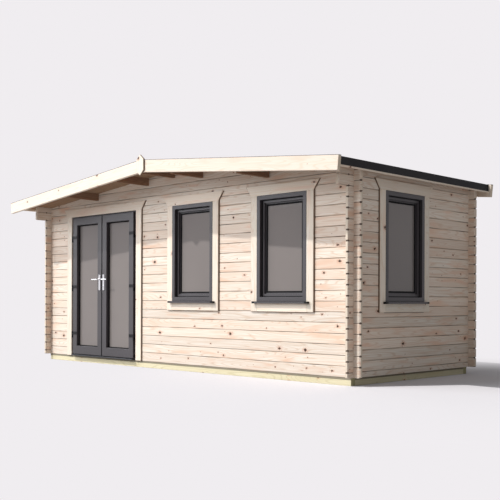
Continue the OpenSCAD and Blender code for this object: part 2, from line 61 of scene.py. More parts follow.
# %% [markdown]
# ## Where the viewer stands
# The camera stands off the right front corner at about waist height, and looks level at the building. Most
# of the building is above it, so the view is raised with the lens shift and not by tilting, which keeps the
# upright corners of the walls upright.

# %% Camera
camera_data = bpy.data.cameras.new("viewer")
camera_data.sensor_width = 36.0
camera_data.lens = 61.76
camera_data.shift_y = 0.102
camera_data.clip_end = 500.0
camera = bpy.data.objects.new("viewer", camera_data)
camera.location = (8.3718, -8.2591, 0.8839)
camera.rotation_euler = (math.radians(90), math.radians(-0.2), math.radians(44.622))
bpy.context.scene.collection.objects.link(camera)
bpy.context.scene.camera = camera
print("camera", tuple(round(v, 3) for v in camera.location))

# %% [markdown]
# ## Helpers for nodes and colours
# Paint charts give colours as sRGB hex values, while shaders work in linear light, so one function turns the
# one into the other. A second one adds a shader node with its settings, and links what comes from other
# nodes.


# %% Colour and node helpers
def linear(hex_value):
    parts = [int(hex_value[i : i + 2], 16) / 255 for i in (0, 2, 4)]
    return tuple(p / 12.92 if p <= 0.04045 else ((p + 0.055) / 1.055) ** 2.4 for p in parts) + (1.0,)


def add(tree, kind, inputs=(), operation=None, **settings):
    """inputs holds values, sockets or nodes: a list in the order of the new node's sockets, or a dict."""
    made = tree.nodes.new("ShaderNode" + kind)
    if operation:
        made.operation = operation
    for key, value in settings.items():
        setattr(made, key, value)
    for key, value in inputs.items() if isinstance(inputs, dict) else enumerate(inputs):
        if isinstance(value, bpy.types.Node):
            value = next(socket for socket in value.outputs if socket.enabled)
        if isinstance(value, bpy.types.NodeSocket):
            tree.links.new(value, made.inputs[key])
        else:
            made.inputs[key].default_value = value
    return made


def new_material(name):
    made = bpy.data.materials.new(name)
    made.use_nodes = True
    made.node_tree.nodes.clear()
    return made, made.node_tree


print("helpers ready; #808080 is", round(linear("808080")[0], 3), "in linear light")

# %% [markdown]
# ## Daylight in a studio
# A high sun from the front left throws the roof's shadow over the top of the front wall and leaves the right
# wall in shade. A large soft panel at the front left brightens the front.

# %% Sun and panel
SUN_TRAVEL = Vector((0.64, 1.0, -1.44))
sun_data = bpy.data.lights.new("sun", "SUN")
sun_data.energy = 2.72
sun_data.color = (1.0, 0.985, 0.96)
sun_data.angle = math.radians(1.2)
sun = bpy.data.objects.new("sun", sun_data)
sun.rotation_euler = SUN_TRAVEL.to_track_quat("-Z", "Y").to_euler()
bpy.context.scene.collection.objects.link(sun)

panel_data = bpy.data.lights.new("soft_panel", "AREA")
panel_data.shape = "RECTANGLE"
panel_data.size, panel_data.size_y = 32.0, 16.0
panel_data.energy = 8700.0
panel_data.color = (0.91, 0.95, 1.0)
panel = bpy.data.objects.new("soft_panel", panel_data)
panel.location = (-20.0, -21.5, 13.2)
panel.rotation_euler = (Vector((0, 0, 1.2)) - panel.location).to_track_quat("-Z", "Y").to_euler()
panel.visible_camera = False
bpy.context.scene.collection.objects.link(panel)
print("sun travels", tuple(round(v, 2) for v in SUN_TRAVEL.normalized()))

# %% [markdown]
# A dim even sky fills the shade. The backdrop is plain pale grey, and metal and glass mirror it as the
# camera sees it, which a Light Path node sorts out: some rays see things, and the others only light them.

# %% Sky
PAPER = linear("f0edf0")  # the pale grey of the backdrop


def seen_or_mirrored(tree):
    """1 for rays from the camera, off gloss or through glass, and 0 for the rays that light things."""
    ray = add(tree, "LightPath").outputs
    straight = add(tree, "Math", [ray["Is Camera Ray"], ray["Is Glossy Ray"]], "MAXIMUM")
    return add(tree, "Math", [straight, ray["Is Transmission Ray"]], "MAXIMUM")


sky = bpy.data.worlds.new("studio_sky")
bpy.context.scene.world = sky
sky.use_nodes = True
tree = sky.node_tree
tree.nodes.clear()
fill = add(tree, "Background", {"Color": (0.95, 0.97, 1, 1), "Strength": 0.29})
backdrop = add(tree, "Background", {"Color": PAPER, "Strength": 1.0})
sky_light = add(tree, "MixShader", [seen_or_mirrored(tree), fill, backdrop])
add(tree, "OutputWorld", {"Surface": sky_light})
bpy.context.scene.view_settings.view_transform = "Standard"
print("sky nodes", len(tree.nodes))

# %% [markdown]
# The cabin stands on a plain pale floor that takes its shadow. It isn't part of the cabin. Only the eye sees
# it this pale: what it throws back at the cabin is as from a mid-grey floor.
# Away from the cabin it passes into the backdrop, as the curved paper sweep of a studio does, so no horizon
# shows.

# %% Floor
FLOOR_HALF = 180.0
SWEEP_MIDDLE, SWEEP_START, SWEEP_END = (3.2, 0.3, 0.0), 1.2, 4.5  # round the end of the shadow
floor_bm = bmesh.new()
bmesh.ops.create_grid(floor_bm, x_segments=1, y_segments=1, size=FLOOR_HALF)
floor_data = bpy.data.meshes.new("ground")
floor_bm.to_mesh(floor_data)
floor_bm.free()
ground = bpy.data.objects.new("ground", floor_data)
bpy.context.scene.collection.objects.link(ground)
pale_floor, tree = new_material("matt_studio_floor")
here = add(tree, "TexCoord").outputs["Object"]
distance = add(tree, "VectorMath", [here, SWEEP_MIDDLE], "DISTANCE")
sweep = add(tree, "MapRange", [distance, SWEEP_START, SWEEP_END], interpolation_type="SMOOTHSTEP")
paper = add(tree, "Emission", {"Color": PAPER, "Strength": 1.0})
pale = add(tree, "MixShader", [sweep, add(tree, "BsdfDiffuse", {"Color": linear("dddadd")}), paper])
dim = add(tree, "BsdfDiffuse", {"Color": linear("a9a8a9")})
floor_look = add(tree, "MixShader", [seen_or_mirrored(tree), dim, pale])
add(tree, "OutputMaterial", {"Surface": floor_look})
ground.data.materials.append(pale_floor)
print("floor is", 2 * FLOOR_HALF, "m across")

# %% [markdown]
# ## Planed spruce
# The logs and boards are planed spruce with no finish: cream wood with honey-coloured growth lines along the
# board, blushes of pink where resin sits, and brown knots with a dark rim. A pattern starts from where a
# point lies on its board. Each log or board also has a number of its own, which shifts its pattern and tints
# it.

# %% Where a point lies on its board
LOG_COVER = 0.114  # the height that one log covers
SHIFT = 61.0  # the most that a board's pattern is shifted along it


def lie_on_board(t, along, across, through, first, wide):
    """Metres along, across and through a board, its number and what hangs on that, and the height on it from
    0 to 1. first is the height of a log wall's lowest joint, or None for boards whose faces hold a number."""
    here = add(t, "TexCoord").outputs["Object"]
    run, rise, deep = (add(t, "VectorMath", [here, axis], "DOT_PRODUCT")
                       for axis in (along, across, through))
    if first is None:
        number = add(t, "Attribute", attribute_name="board", attribute_type="GEOMETRY").outputs["Fac"]
        height = add(t, "Math", [rise, 1 / wide, number], "MULTIPLY_ADD")
    else:
        above_first = add(t, "Math", [rise, first], "SUBTRACT")
        height = add(t, "Math", [above_first, 1 / wide], "MULTIPLY")
        number = add(t, "Math", [height], "FLOOR")
    chance = add(t, "TexWhiteNoise", {"W": number}, noise_dimensions="1D").outputs["Value"]
    shift = add(t, "Math", [chance, SHIFT], "MULTIPLY")
    shifted_run = add(t, "Math", [run, shift], "ADD")
    level = add(t, "Math", [height], "FRACT")
    return SimpleNamespace(here=here, run=run, rise=rise, deep=deep, height=height, number=number, wide=wide,
                           chance=chance, shift=shift, shifted_run=shifted_run, level=level)


print("one log covers", LOG_COVER * 1000, "mm")

# %% [markdown]
# Knots sit one by one along each board, where branches grew. Cells of noise along the board hold one knot
# each, and some are left out. Knots keep company: they come where branches were thick, with clear stretches
# between. They aren't round: their rims wander by a few millimetres over lengths of about 10 mm.

# %% Knots
BIG_KNOTS = (1.0, 0.0050, 0.0150, 0.30, 0.0)  # spacing factor, least and most radius, share left out, offset
PIN_KNOTS = (0.7, 0.0015, 0.0045, 0.45, 7.7)
KNOT_SQUASH = 0.66  # a knot is half as long again along the board as across it
# From the halo in to the heart: where a coat starts to fade and ends, in radii, its colour and its share.
KNOT_COATS = ((1.0, 3.2, "c98a66", 0.5), (0.8, 1.3, "2e1c10", 1.0), (0.1, 0.6, "55331f", 0.7))


def knots_on(t, lie, every):
    """For each kind of knot, the distance from the nearest in radii and whether it is there. Then the height
    that the growth lines follow, which bends round the big ones."""
    ragged = add(t, "TexNoise", {"Vector": lie.here, "Scale": 95.0, "Detail": 1.0})
    ragged = add(t, "MapRange", [ragged, 0.25, 0.75, 0.5, 1.75])
    knots, bent = [], None
    for factor, small, large, missing, offset in (BIG_KNOTS, PIN_KNOTS):
        spacing = every * factor
        step = add(t, "Math", [lie.shifted_run, 1 / spacing, offset], "MULTIPLY_ADD")
        cell = add(t, "TexVoronoi", {"W": step, "Scale": 1.0, "Randomness": 0.9}, voronoi_dimensions="1D")
        dice = add(t, "SeparateColor", [cell.outputs["Color"]]).outputs
        away = add(t, "Math", [step, cell.outputs["W"]], "SUBTRACT")
        away = add(t, "Math", [away, spacing * KNOT_SQUASH], "MULTIPLY")
        middle = add(t, "MapRange", [dice[0], 0, 1, 0.2, 0.8])
        above = add(t, "Math", [lie.level, middle], "SUBTRACT")
        above = add(t, "Math", [above, lie.wide], "MULTIPLY")
        gap = add(t, "VectorMath", [add(t, "CombineXYZ", [away, above])], "LENGTH")
        radius = add(t, "MapRange", [dice[1], missing, 1, small, large])
        reach = add(t, "Math", [gap, radius], "DIVIDE")
        reach = add(t, "Math", [reach, ragged], "MULTIPLY")
        # Clear and knotty stretches are about 1 m long, and run over one or two boards.
        stretch = add(t, "Math", [cell.outputs["W"], spacing * 1.1], "MULTIPLY")
        stretch = add(t, "CombineXYZ", [stretch, add(t, "Math", [lie.number, 0.6], "MULTIPLY")])
        company = add(t, "TexNoise", {"Vector": stretch, "Scale": 1.0, "Detail": 0.0})
        company = add(t, "Math", [company, 0.5], "GREATER_THAN")
        there = add(t, "Math", [dice[1], missing], "GREATER_THAN")
        there = add(t, "Math", [there, company], "MULTIPLY")
        knots.append((reach, there))
        if bent is None:
            pull = add(t, "MapRange", [reach, 0.5, 4.5, 0.85, 0.0], interpolation_type="SMOOTHSTEP")
            pull = add(t, "Math", [pull, there], "MULTIPLY")
            pull = add(t, "Math", [pull, above], "MULTIPLY")
            bent = add(t, "Math", [lie.rise, pull], "SUBTRACT")
    return knots, bent


print("kinds of knot", len((BIG_KNOTS, PIN_KNOTS)), "with", len(KNOT_COATS), "coats each")

# %% [markdown]
# The growth lines are the contours of a slow noise that is stretched along the board, because that makes the
# long pointed arches of flat-sawn wood. Fine streaks lie between them, and blushes of pink lie over them.

# %% Growth lines, streaks and blushes
# Waves per metre along and across the board: streaks, the noise whose contours are the lines, and blushes.
STREAKS, ARCHES, BLUSHES = (1.6, 85.0), (0.5, 6.5), (1.7, 11.0)
LINES_PER_WAVE = 26.0  # puts the lines 5 to 20 mm apart


def grain(t, lie, bent, tones):
    """The wood's colour without its knots, and the patterns that can be felt: streaks and growth lines."""
    places = []
    for (along_scale, across_scale), third in ((STREAKS, lie.deep), (ARCHES, lie.deep), (BLUSHES, lie.shift)):
        scaled = [add(t, "Math", [value, scale], "MULTIPLY") for value, scale in
                  ((lie.shifted_run, along_scale), (bent, across_scale), (third, across_scale))]
        places.append(add(t, "CombineXYZ", scaled))
    fibre = add(t, "TexNoise", {"Vector": places[0], "Scale": 1.0, "Detail": 4.0, "Roughness": 0.6})
    hill = add(t, "TexNoise", {"Vector": places[1], "Scale": 1.0, "Detail": 1.5, "Roughness": 0.45})
    lines = add(t, "Math", [hill, LINES_PER_WAVE], "MULTIPLY")
    lines = add(t, "Math", [lines, 0.5], "PINGPONG")
    lines = add(t, "MapRange", [lines, 0.28, 0.5], interpolation_type="SMOOTHSTEP")
    blush = add(t, "TexNoise", {"Vector": places[2], "Scale": 1.0, "Detail": 2.0})
    blush = add(t, "MapRange", [blush, 0.52, 0.74, 0.0, 0.9], interpolation_type="SMOOTHSTEP")
    warmth = add(t, "Math", [lie.chance, 7.3], "MULTIPLY")
    warmth = add(t, "Math", [warmth], "FRACT")
    coats = ((add(t, "MapRange", [fibre, 0.36, 0.68]), tones[1]),
             (add(t, "Math", [lines, 0.42], "MULTIPLY"), tones[2]),
             (blush, tones[3]),
             (add(t, "Math", [warmth, 0.3], "MULTIPLY"), tones[3]))
    colour = linear(tones[0])
    for share, tone in coats:
        colour = add(t, "Mix", {0: share, 6: colour, 7: linear(tone)}, data_type="RGBA")
    tint = add(t, "MapRange", [lie.chance, 0, 1, 0.91, 1.06])
    return add(t, "VectorMath", {0: colour, "Scale": tint}, "SCALE"), fibre, lines


print("waves of the slow noise:", round(1 / ARCHES[1], 3), "m high and", 1 / ARCHES[0], "m long")

# %% [markdown]
# Between two logs lies a V, whose bottom is a gap about 2 mm wide. The dark of that gap and the shade in the
# V are painted as a dark band along it, which is tighter in some places than in others. At the log ends the
# bevels open it to about 20 mm, and the shade deep in that open mouth is painted too.

# %% Joints between logs
MOUTH_FROM, MOUTH_TO = 0.008, 0.026  # how far in from the tip of a log the open part of the joint narrows
MOUTH_HALF = 0.0105  # half its height at the tip


def joint_gap_and_painted_shade(t, lie, tip):
    """The share of the dark gap and painted shade at a joint. tip is how far out from the cabin's middle the
    logs end.
    """
    from_joint = add(t, "Math", [lie.height, 0.5], "PINGPONG")
    from_joint = add(t, "Math", [from_joint, lie.wide], "MULTIPLY")
    gloom = add(t, "MapRange", [from_joint, 0.0015, 0.0065, 1.0, 0.0], interpolation_type="SMOOTHSTEP")
    # Tight and slack stretches are about 0.4 m long.
    stretch = add(t, "Math", [lie.run, 2.4], "MULTIPLY")
    stretch = add(t, "CombineXYZ", [stretch, add(t, "Math", [lie.height], "ROUND")])
    slack = add(t, "TexNoise", {"Vector": stretch, "Scale": 1.0, "Detail": 1.0})
    slack = add(t, "MapRange", [slack, 0.3, 0.7, 0.15, 0.9])
    gloom = add(t, "Math", [gloom, slack], "MULTIPLY")
    from_middle = add(t, "Math", [lie.run], "ABSOLUTE")
    from_tip = add(t, "Math", [tip, from_middle], "SUBTRACT")
    mouth = add(t, "MapRange", [from_tip, MOUTH_FROM, MOUTH_TO, MOUTH_HALF, 0.0])
    mouth = add(t, "Math", [from_joint, mouth], "LESS_THAN")
    on_log = add(t, "Math", [from_tip, -0.003], "GREATER_THAN")
    mouth = add(t, "Math", [mouth, on_log], "MULTIPLY")
    mouth = add(t, "Math", [mouth, 0.85], "MULTIPLY")
    return add(t, "Math", [gloom, mouth], "MAXIMUM")


print("joint mouths", 2000 * MOUTH_HALF, "mm high")

# %% [markdown]
# The end grain of a log or board shows rings about 4 mm apart, round a heart low in it or below it.

# %% End grain
RING = 0.004


def end_grain(t, lie, along, tone):
    """Whether a face lies across the grain, and its colour there."""
    normal = add(t, "TexCoord").outputs["Normal"]
    facing = add(t, "VectorMath", [normal, along], "DOT_PRODUCT")
    facing = add(t, "Math", [facing], "ABSOLUTE")
    facing = add(t, "Math", [facing, 0.8], "GREATER_THAN")
    above = add(t, "Math", [lie.level, lie.chance], "ADD")
    above = add(t, "Math", [above, 0.6], "SUBTRACT")
    above = add(t, "Math", [above, lie.wide], "MULTIPLY")
    from_heart = add(t, "VectorMath", [add(t, "CombineXYZ", [above, lie.deep])], "LENGTH")
    rings = add(t, "Math", [from_heart, 2 * math.pi / RING], "MULTIPLY")
    rings = add(t, "Math", [rings], "SINE")
    rings = add(t, "MapRange", [rings, -1.0, 1.0, 0.80, 1.0])
    return facing, add(t, "VectorMath", {0: linear(tone)[:3], "Scale": rings}, "SCALE")


print("rings", RING * 1000, "mm apart")

# %% [markdown]
# The wood of a part is all of these laid over each other. Its tones are given from pale wood to streak, late
# wood, blush and end grain. Planed wood is dull, with an IOR like that of other dry wood, and sawn wood
# duller.


# %% Spruce
def spruce(name, along, across, tones, first=None, every=0.40, wide=LOG_COVER, roughness=0.62, through=None,
           tip=0.0, gloss=0.35):
    """every is how far apart the big knots are, and wide how wide a board is."""
    made, t = new_material(name)
    along, across = Vector(along).normalized(), Vector(across).normalized()
    through = along.cross(across) if through is None else Vector(through)
    lie = lie_on_board(t, along, across, through, first, wide)
    knots, bent = knots_on(t, lie, every)
    colour, fibre, lines = grain(t, lie, bent, tones)
    coats = []
    for reach, there in knots:
        for inner, outer, shade, most in KNOT_COATS:
            share = add(t, "MapRange", [reach, inner, outer, most, 0.0], interpolation_type="SMOOTHSTEP")
            coats.append((add(t, "Math", [share, there], "MULTIPLY"), linear(shade)))
    if first is not None:
        # The joints get a dark brown: the dark gap at their bottom, and painted shade in the V and its mouth.
        coats.append((joint_gap_and_painted_shade(t, lie, tip), linear("43301f")))
    coats.append(end_grain(t, lie, along, tones[4]))
    for share, shade in coats:
        colour = add(t, "Mix", {0: share, 6: colour, 7: shade}, data_type="RGBA")
    relief = add(t, "Math", [fibre, 0.6, lines], "MULTIPLY_ADD")
    bump = add(t, "Bump", {"Strength": 0.35, "Distance": 0.0006, "Height": relief})
    shader = add(t, "BsdfPrincipled", {"Base Color": colour, "Roughness": roughness, "IOR": 1.45,
                                       "Specular IOR Level": gloss, "Normal": bump})
    add(t, "OutputMaterial", {"Surface": shader})
    return made


LOG_TONES = ("eee4d8", "e0cdba", "c9a585", "e3bfa6", "e6d6c2")
UP, X, Y = (0, 0, 1), (1, 0, 0), (0, 1, 0)
long_low, long_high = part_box("back_wall")
short_low, short_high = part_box("right_wall")
first_long, first_short = long_low.z + LOG_COVER, short_low.z + LOG_COVER / 2
long_logs = spruce("planed_spruce_long_logs", X, UP, LOG_TONES, first=first_long, tip=long_high.x)
short_logs = spruce("planed_spruce_short_logs", Y, UP, LOG_TONES, first=first_short, tip=short_high.y)
print("lowest joints at", round(first_long, 3), "and", round(first_short, 3))

# %% [markdown]
# ## Working from the solids
# A joiner eases every arris with a plane, so that it neither splinters nor looks like a paper edge. A
# solid's mesh is loose triangles, so a copy of it is merged and its flat faces are joined before its edges
# can be rounded. Very short edges stay sharp, because a bevel would run over itself there.

# %% Copies and eased edges
EASED = 0.003  # the round on an edge that a plane has passed over
BEVEL = {"offset_type": "OFFSET", "profile": 0.5, "affect": "EDGES", "clamp_overlap": True, "material": -1}


def copy_of(node):
    bm = bmesh.new()
    bm.from_mesh(frame["nodes"][node].data)
    bmesh.ops.remove_doubles(bm, verts=bm.verts, dist=2e-5)
    bmesh.ops.dissolve_limit(bm, angle_limit=math.radians(0.3), verts=bm.verts, edges=bm.edges)
    return bm


def ease(bm, radius, shortest=0.011):
    bm.normal_update()
    sharp = [e for e in bm.edges if len(e.link_faces) == 2 and e.is_convex
             and e.calc_face_angle() > math.radians(25) and e.calc_length() > shortest]
    bmesh.ops.bevel(bm, geom=sharp, offset=radius, segments=2, **BEVEL)


print("solids to dress:", len(frame["nodes"]))

# %% [markdown]
# A node may hold several boards or panes, so a walk from face to face finds each separate solid. Its box
# says where it is, and a thin one's box also says which way it faces. Only the front and right walls have
# openings.


# %% Separate solids
def loose_parts(bm):
    """The faces of each separate solid, in the mesh's own order."""
    parts, seen = [], set()
    bm.faces.index_update()
    for first_face in bm.faces:
        if first_face.index in seen:
            continue
        seen.add(first_face.index)
        part, waiting = [], [first_face]
        while waiting:
            face = waiting.pop()
            part.append(face)
            for other in (other for edge in face.edges for other in edge.link_faces):
                if other.index not in seen:
                    seen.add(other.index)
                    waiting.append(other)
        parts.append(part)
    return parts


def corners_of(part):
    points = [v.co for face in part for v in face.verts]
    return (Vector([min(p[i] for p in points) for i in range(3)]),
            Vector([max(p[i] for p in points) for i in range(3)]))


def solids_of(node):
    """The lowest and highest corners of each separate solid of a node, sorted from left to right."""
    bm = copy_of(node)
    found = [corners_of(part) for part in loose_parts(bm)]
    bm.free()
    return sorted(found, key=lambda box: [round(v, 3) for v in box[0]])


THIN = 0.05  # a board or pane that measures less than this along X faces along X


def outside_of(low, high):
    """The axis that a thin board or pane faces, its direction outwards and its outer and inner faces."""
    if high.x - low.x < THIN:
        return 0, 1, high.x, low.x
    return 1, -1, low.y, high.y


print("window panes", len(solids_of("window_glass")))

# %% [markdown]
# Each board gets a number of its own, which the wood pattern starts from, and each new piece is told which
# body it rides on and which solids it stands for.

# %% Numbered boards and new pieces
NUMBER_STEP = 0.618  # spreads the numbers evenly between 0 and 1
boards_numbered = 0


def number_boards(bm):
    global boards_numbered
    layer = bm.faces.layers.float.get("board") or bm.faces.layers.float.new("board")
    for part in loose_parts(bm):
        boards_numbered += 1
        for face in part:
            face[layer] = boards_numbered * NUMBER_STEP % 1


def slot_of(node):
    return frame["nodes"][node].data.materials[0].name


def piece(name, bm, material, body, slot, *stands_for):
    data = bpy.data.meshes.new(name)
    bm.normal_update()
    bm.to_mesh(data)
    bm.free()
    data.materials.append(material)
    made = bpy.data.objects.new(name, data)
    bpy.context.scene.collection.objects.link(made)
    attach(made, body)
    if stands_for:
        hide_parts(*stands_for)
    return made


def eased(node, radius, material, body="cabin"):
    """A copy of a node with rounded edges, which takes its place."""
    bm = copy_of(node)
    ease(bm, radius)
    number_boards(bm)
    return piece("eased_" + node, bm, material, body, slot_of(node), node)


print("slots", sorted({slot_of(node) for node in frame["nodes"]}))

# %% [markdown]
# Small pieces start from blocks and round bars, and meshes are joined where like pieces make one object.


# %% Blocks and bars
def join(together, bm):
    """Moves the whole of one mesh into another."""
    stack = bpy.data.meshes.new("stack")
    bm.to_mesh(stack)
    bm.free()
    together.from_mesh(stack)
    bpy.data.meshes.remove(stack)


def block(bm, low, high):
    low, high = Vector(low), Vector(high)
    place = Matrix.Translation((low + high) / 2) @ Matrix.Diagonal((*(high - low), 1))
    return bmesh.ops.create_cube(bm, size=1.0, matrix=place)["verts"]


def rod(bm, start, direction, radius, length, far_radius, segments=24):
    """A round bar, tapered if its radii differ, that starts at a point and runs along a direction."""
    direction = Vector(direction).normalized()
    turn = direction.to_track_quat("Z", "Y").to_matrix().to_4x4()
    place = Matrix.Translation(Vector(start) + direction * length / 2) @ turn
    return bmesh.ops.create_cone(bm, cap_ends=True, segments=segments, radius1=radius, radius2=far_radius,
                                 depth=length, matrix=place)["verts"]


print("blocks and bars ready")

# %% [markdown]
# ## Log ends
# Beyond each corner the logs run on by 90 mm. Their ends are bevelled all round at the mill, so that rain
# runs off and a stack of them looks like a row of blocks. So each wall is cut through at its joints, the end
# of every log is inset by itself, and its rim is pushed back.

# %% Walls with bevelled log ends
BEVEL_IN, BEVEL_BACK = 0.0085, 0.014  # how far the bevel runs over the end and back along the log
LEAST_END = 0.0012  # square metres; a smaller face at a log's end stays flat
CLEAR = 0.005  # an end stands at least this far clear of the crossing wall


def wall(node, axis, crossing, first, material):
    """crossing: how far from the cabin's middle the crossing wall's outer face is."""
    axis = Vector(axis)
    bm = copy_of(node)
    low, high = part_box(node)
    for course in range(math.ceil((low.z - first) / LOG_COVER), math.ceil((high.z - first) / LOG_COVER)):
        everything = list(bm.verts) + list(bm.edges) + list(bm.faces)
        bmesh.ops.bisect_plane(bm, geom=everything, dist=1e-4, plane_no=UP,
                               plane_co=(0, 0, first + course * LOG_COVER))
    bm.normal_update()
    bevelled = 0
    for outward in (axis, -axis):
        ends = [f for f in bm.faces if f.normal.dot(outward) > 0.99 and f.calc_area() > LEAST_END
                and f.calc_center_median().dot(outward) > crossing + CLEAR]
        bmesh.ops.inset_individual(bm, faces=ends, thickness=BEVEL_IN, use_even_offset=True)
        flat = {v for face in ends for v in face.verts}
        rim = {v for face in ends for e in face.edges for other in e.link_faces for v in other.verts} - flat
        bmesh.ops.translate(bm, verts=list(rim), vec=outward * -BEVEL_BACK)
        bevelled += len(ends)
    piece("logs_of_" + node, bm, material, "cabin", slot_of(node), node)
    print(node, "has", bevelled, "bevelled ends")


for node in ("front_wall_left", "front_wall_right", "front_gable", "back_wall"):
    wall(node, X, short_high.x, first_long, long_logs)
for node in ("left_wall", "right_wall"):
    wall(node, Y, long_high.y, first_short, short_logs)

# %% [markdown]
# ## Fascias, casings and ornament boards
# The trim is finer stuff than the logs: paler boards with fewer knots, planed all round, with edges eased by
# 2 to 4 mm. Grain follows each board, so upright, level and sloping boards each have their own direction.
# Level boards run along X or along Y, so their grain follows both, and doesn't change through the thickness.

# %% Trim boards
TRIM_TONES = ("f1e7da", "eddfcc", "ddc2a3", "edd4c0", "e3d2bb")
SLOPE = math.radians(5.5)
rising, falling = (math.cos(SLOPE), 0, math.sin(SLOPE)), (math.cos(SLOPE), 0, -math.sin(SLOPE))
square_to_rising, square_to_falling = (-rising[2], 0, rising[0]), (-falling[2], 0, falling[0])
upright_trim = spruce("planed_spruce_upright_trim", UP, (1, 1, 0), TRIM_TONES, every=0.62, wide=0.1)
level_trim = spruce("planed_spruce_level_trim", (1, 1, 0), UP, TRIM_TONES, every=0.6, wide=0.118,
                    through=(0, 0, 0))
rising_trim = spruce("planed_spruce_rising_fascia", rising, square_to_rising, TRIM_TONES, every=0.7,
                     wide=0.15)
falling_trim = spruce("planed_spruce_falling_fascia", falling, square_to_falling, TRIM_TONES, every=0.7,
                      wide=0.15)
eaves_trim = spruce("planed_spruce_eaves_board", Y, UP, TRIM_TONES, every=0.6, wide=0.12)
eased("casing_side_boards", EASED, upright_trim)
eased("casing_heads", EASED, level_trim)
eased("casing_bottoms", EASED, level_trim)
eased("finials", EASED, upright_trim)
eased("eaves_boards", 0.002, eaves_trim)
for end in ("front", "back"):
    eased(end + "_fascia_left", 0.004, rising_trim)
    eased(end + "_fascia_right", 0.004, falling_trim)
print("trim boards numbered up to", boards_numbered)

# %% [markdown]
# ## Small finishes
# Most other finishes are made the same way: a fine noise says where the colour wavers between two near
# tones. Its scale is in waves per metre, so a grain of 2 mm needs 500. The same noise may stand up as a
# bump, given as strength and depth, or make the roughness waver, given as two heights of the noise and the
# roughness at each.


# %% Small finishes
def finish(name, tones, scale, surface, detail=2.0, bump=None, rough=None, stretch=None):
    """surface holds the shader's own values. stretch gives a scale for each axis, on top of the first."""
    made, t = new_material(name)
    place = add(t, "TexCoord").outputs["Object"]
    if stretch:
        place = add(t, "VectorMath", [place, stretch], "MULTIPLY")
    waver = add(t, "TexNoise", {"Vector": place, "Scale": scale, "Detail": detail})
    low, high = (linear(tone) for tone in tones)
    linked = {"Base Color": add(t, "Mix", {0: waver, 6: low, 7: high}, data_type="RGBA")}
    if bump:
        linked["Normal"] = add(t, "Bump", {"Strength": bump[0], "Distance": bump[1], "Height": waver})
    if rough:
        linked["Roughness"] = add(t, "MapRange", [waver, *rough])
    add(t, "OutputMaterial", {"Surface": add(t, "BsdfPrincipled", {**surface, **linked})})
    return made


# A dark brown that paints the shade beside the trim boards, wavering in patches about 40 mm long.
painted_shade_brown = finish("dark_brown_painted_shade", ("5c4736", "6d5644"), 25.0, {"Roughness": 0.6})
print("first of them:", painted_shade_brown.name)

# %% [markdown]
# Beside the outer edges of the casings and ornament boards a thin bead in that dark brown paints the shade
# that falls there. Each bead is the foot of the board itself, squashed to half its thickness and pushed a
# little outwards.

# %% Beads of painted shade
BEAD = 0.009  # width of the painted shade that shows
openings = [(low + high) / 2 for low, high in (*solids_of("window_frames"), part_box("door_jambs"))]
beads = bmesh.new()
for node in ("casing_side_boards", "casing_bottoms", "casing_heads", "finials"):
    bm = copy_of(node)
    for part in loose_parts(bm):
        low, high = corners_of(part)
        middle, corners = (low + high) / 2, list({v for face in part for v in face.verts})
        facing = outside_of(low, high)[0]
        level = 1 - facing
        squash, move, foot = Vector((1, 1, 1)), Vector((0, 0, 0)), middle.copy()
        foot[facing] = min(low[facing], high[facing], key=abs)
        squash[facing] = 0.5
        if node == "casing_side_boards":
            opening = min(openings, key=lambda point: (point - middle).length)
            move[level] = math.copysign(BEAD, middle[level] - opening[level])
        elif node == "casing_bottoms":
            move.z = -BEAD * 0.7
        else:
            squash[level] = 1 + 2 * BEAD / (high - low)[level]
        bmesh.ops.scale(bm, vec=squash, verts=corners, space=Matrix.Translation(-foot))
        bmesh.ops.translate(bm, verts=corners, vec=move)
    join(beads, bm)
piece("trim_painted_shade_beads", beads, painted_shade_brown, "cabin", "trim_boards")
print("mastic beads round", len(openings), "openings")

# %% [markdown]
# ## Purlins, roof boards and floor boards
# The purlins are sawn square and have eased edges. The roof's boards and the floor's run along the cabin,
# over purlins and joists. Both are tongued and grooved, with a small V at each joint on the face that shows,
# so each slab is sawn into boards and the long edges of every board are chamfered.


# %% A slab sawn into boards
def sawn_boards(name, node, cover, material, chamfer):
    slab = copy_of(node)
    low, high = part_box(node)
    count = round((high.y - low.y) / cover)
    together = bmesh.new()
    for i in range(count):
        start, stop = (low.y + (high.y - low.y) * k / count for k in (i, i + 1))
        board = slab.copy()
        for level, outward in ((start, -1), (stop, 1)):
            everything = list(board.verts) + list(board.edges) + list(board.faces)
            cut = bmesh.ops.bisect_plane(board, geom=everything, dist=1e-6, plane_co=(0, level, 0),
                                         plane_no=(0, outward, 0), clear_outer=True)["geom_cut"]
            rim = [e for e in cut if isinstance(e, bmesh.types.BMEdge) and e.is_boundary]
            bmesh.ops.holes_fill(board, edges=rim, sides=0)
        board.normal_update()
        long_edges = [e for e in board.edges if len(e.link_faces) == 2
                      and e.calc_face_angle() > math.radians(60)
                      and abs((e.verts[1].co - e.verts[0].co).normalized().x) > 0.9]
        bmesh.ops.bevel(board, geom=long_edges, offset=chamfer, segments=1, **BEVEL)
        bmesh.ops.recalc_face_normals(board, faces=board.faces)
        join(together, board)
    slab.free()
    number_boards(together)
    piece(name, together, material, "cabin", slot_of(node), node)
    print(name, "has", count, "boards")
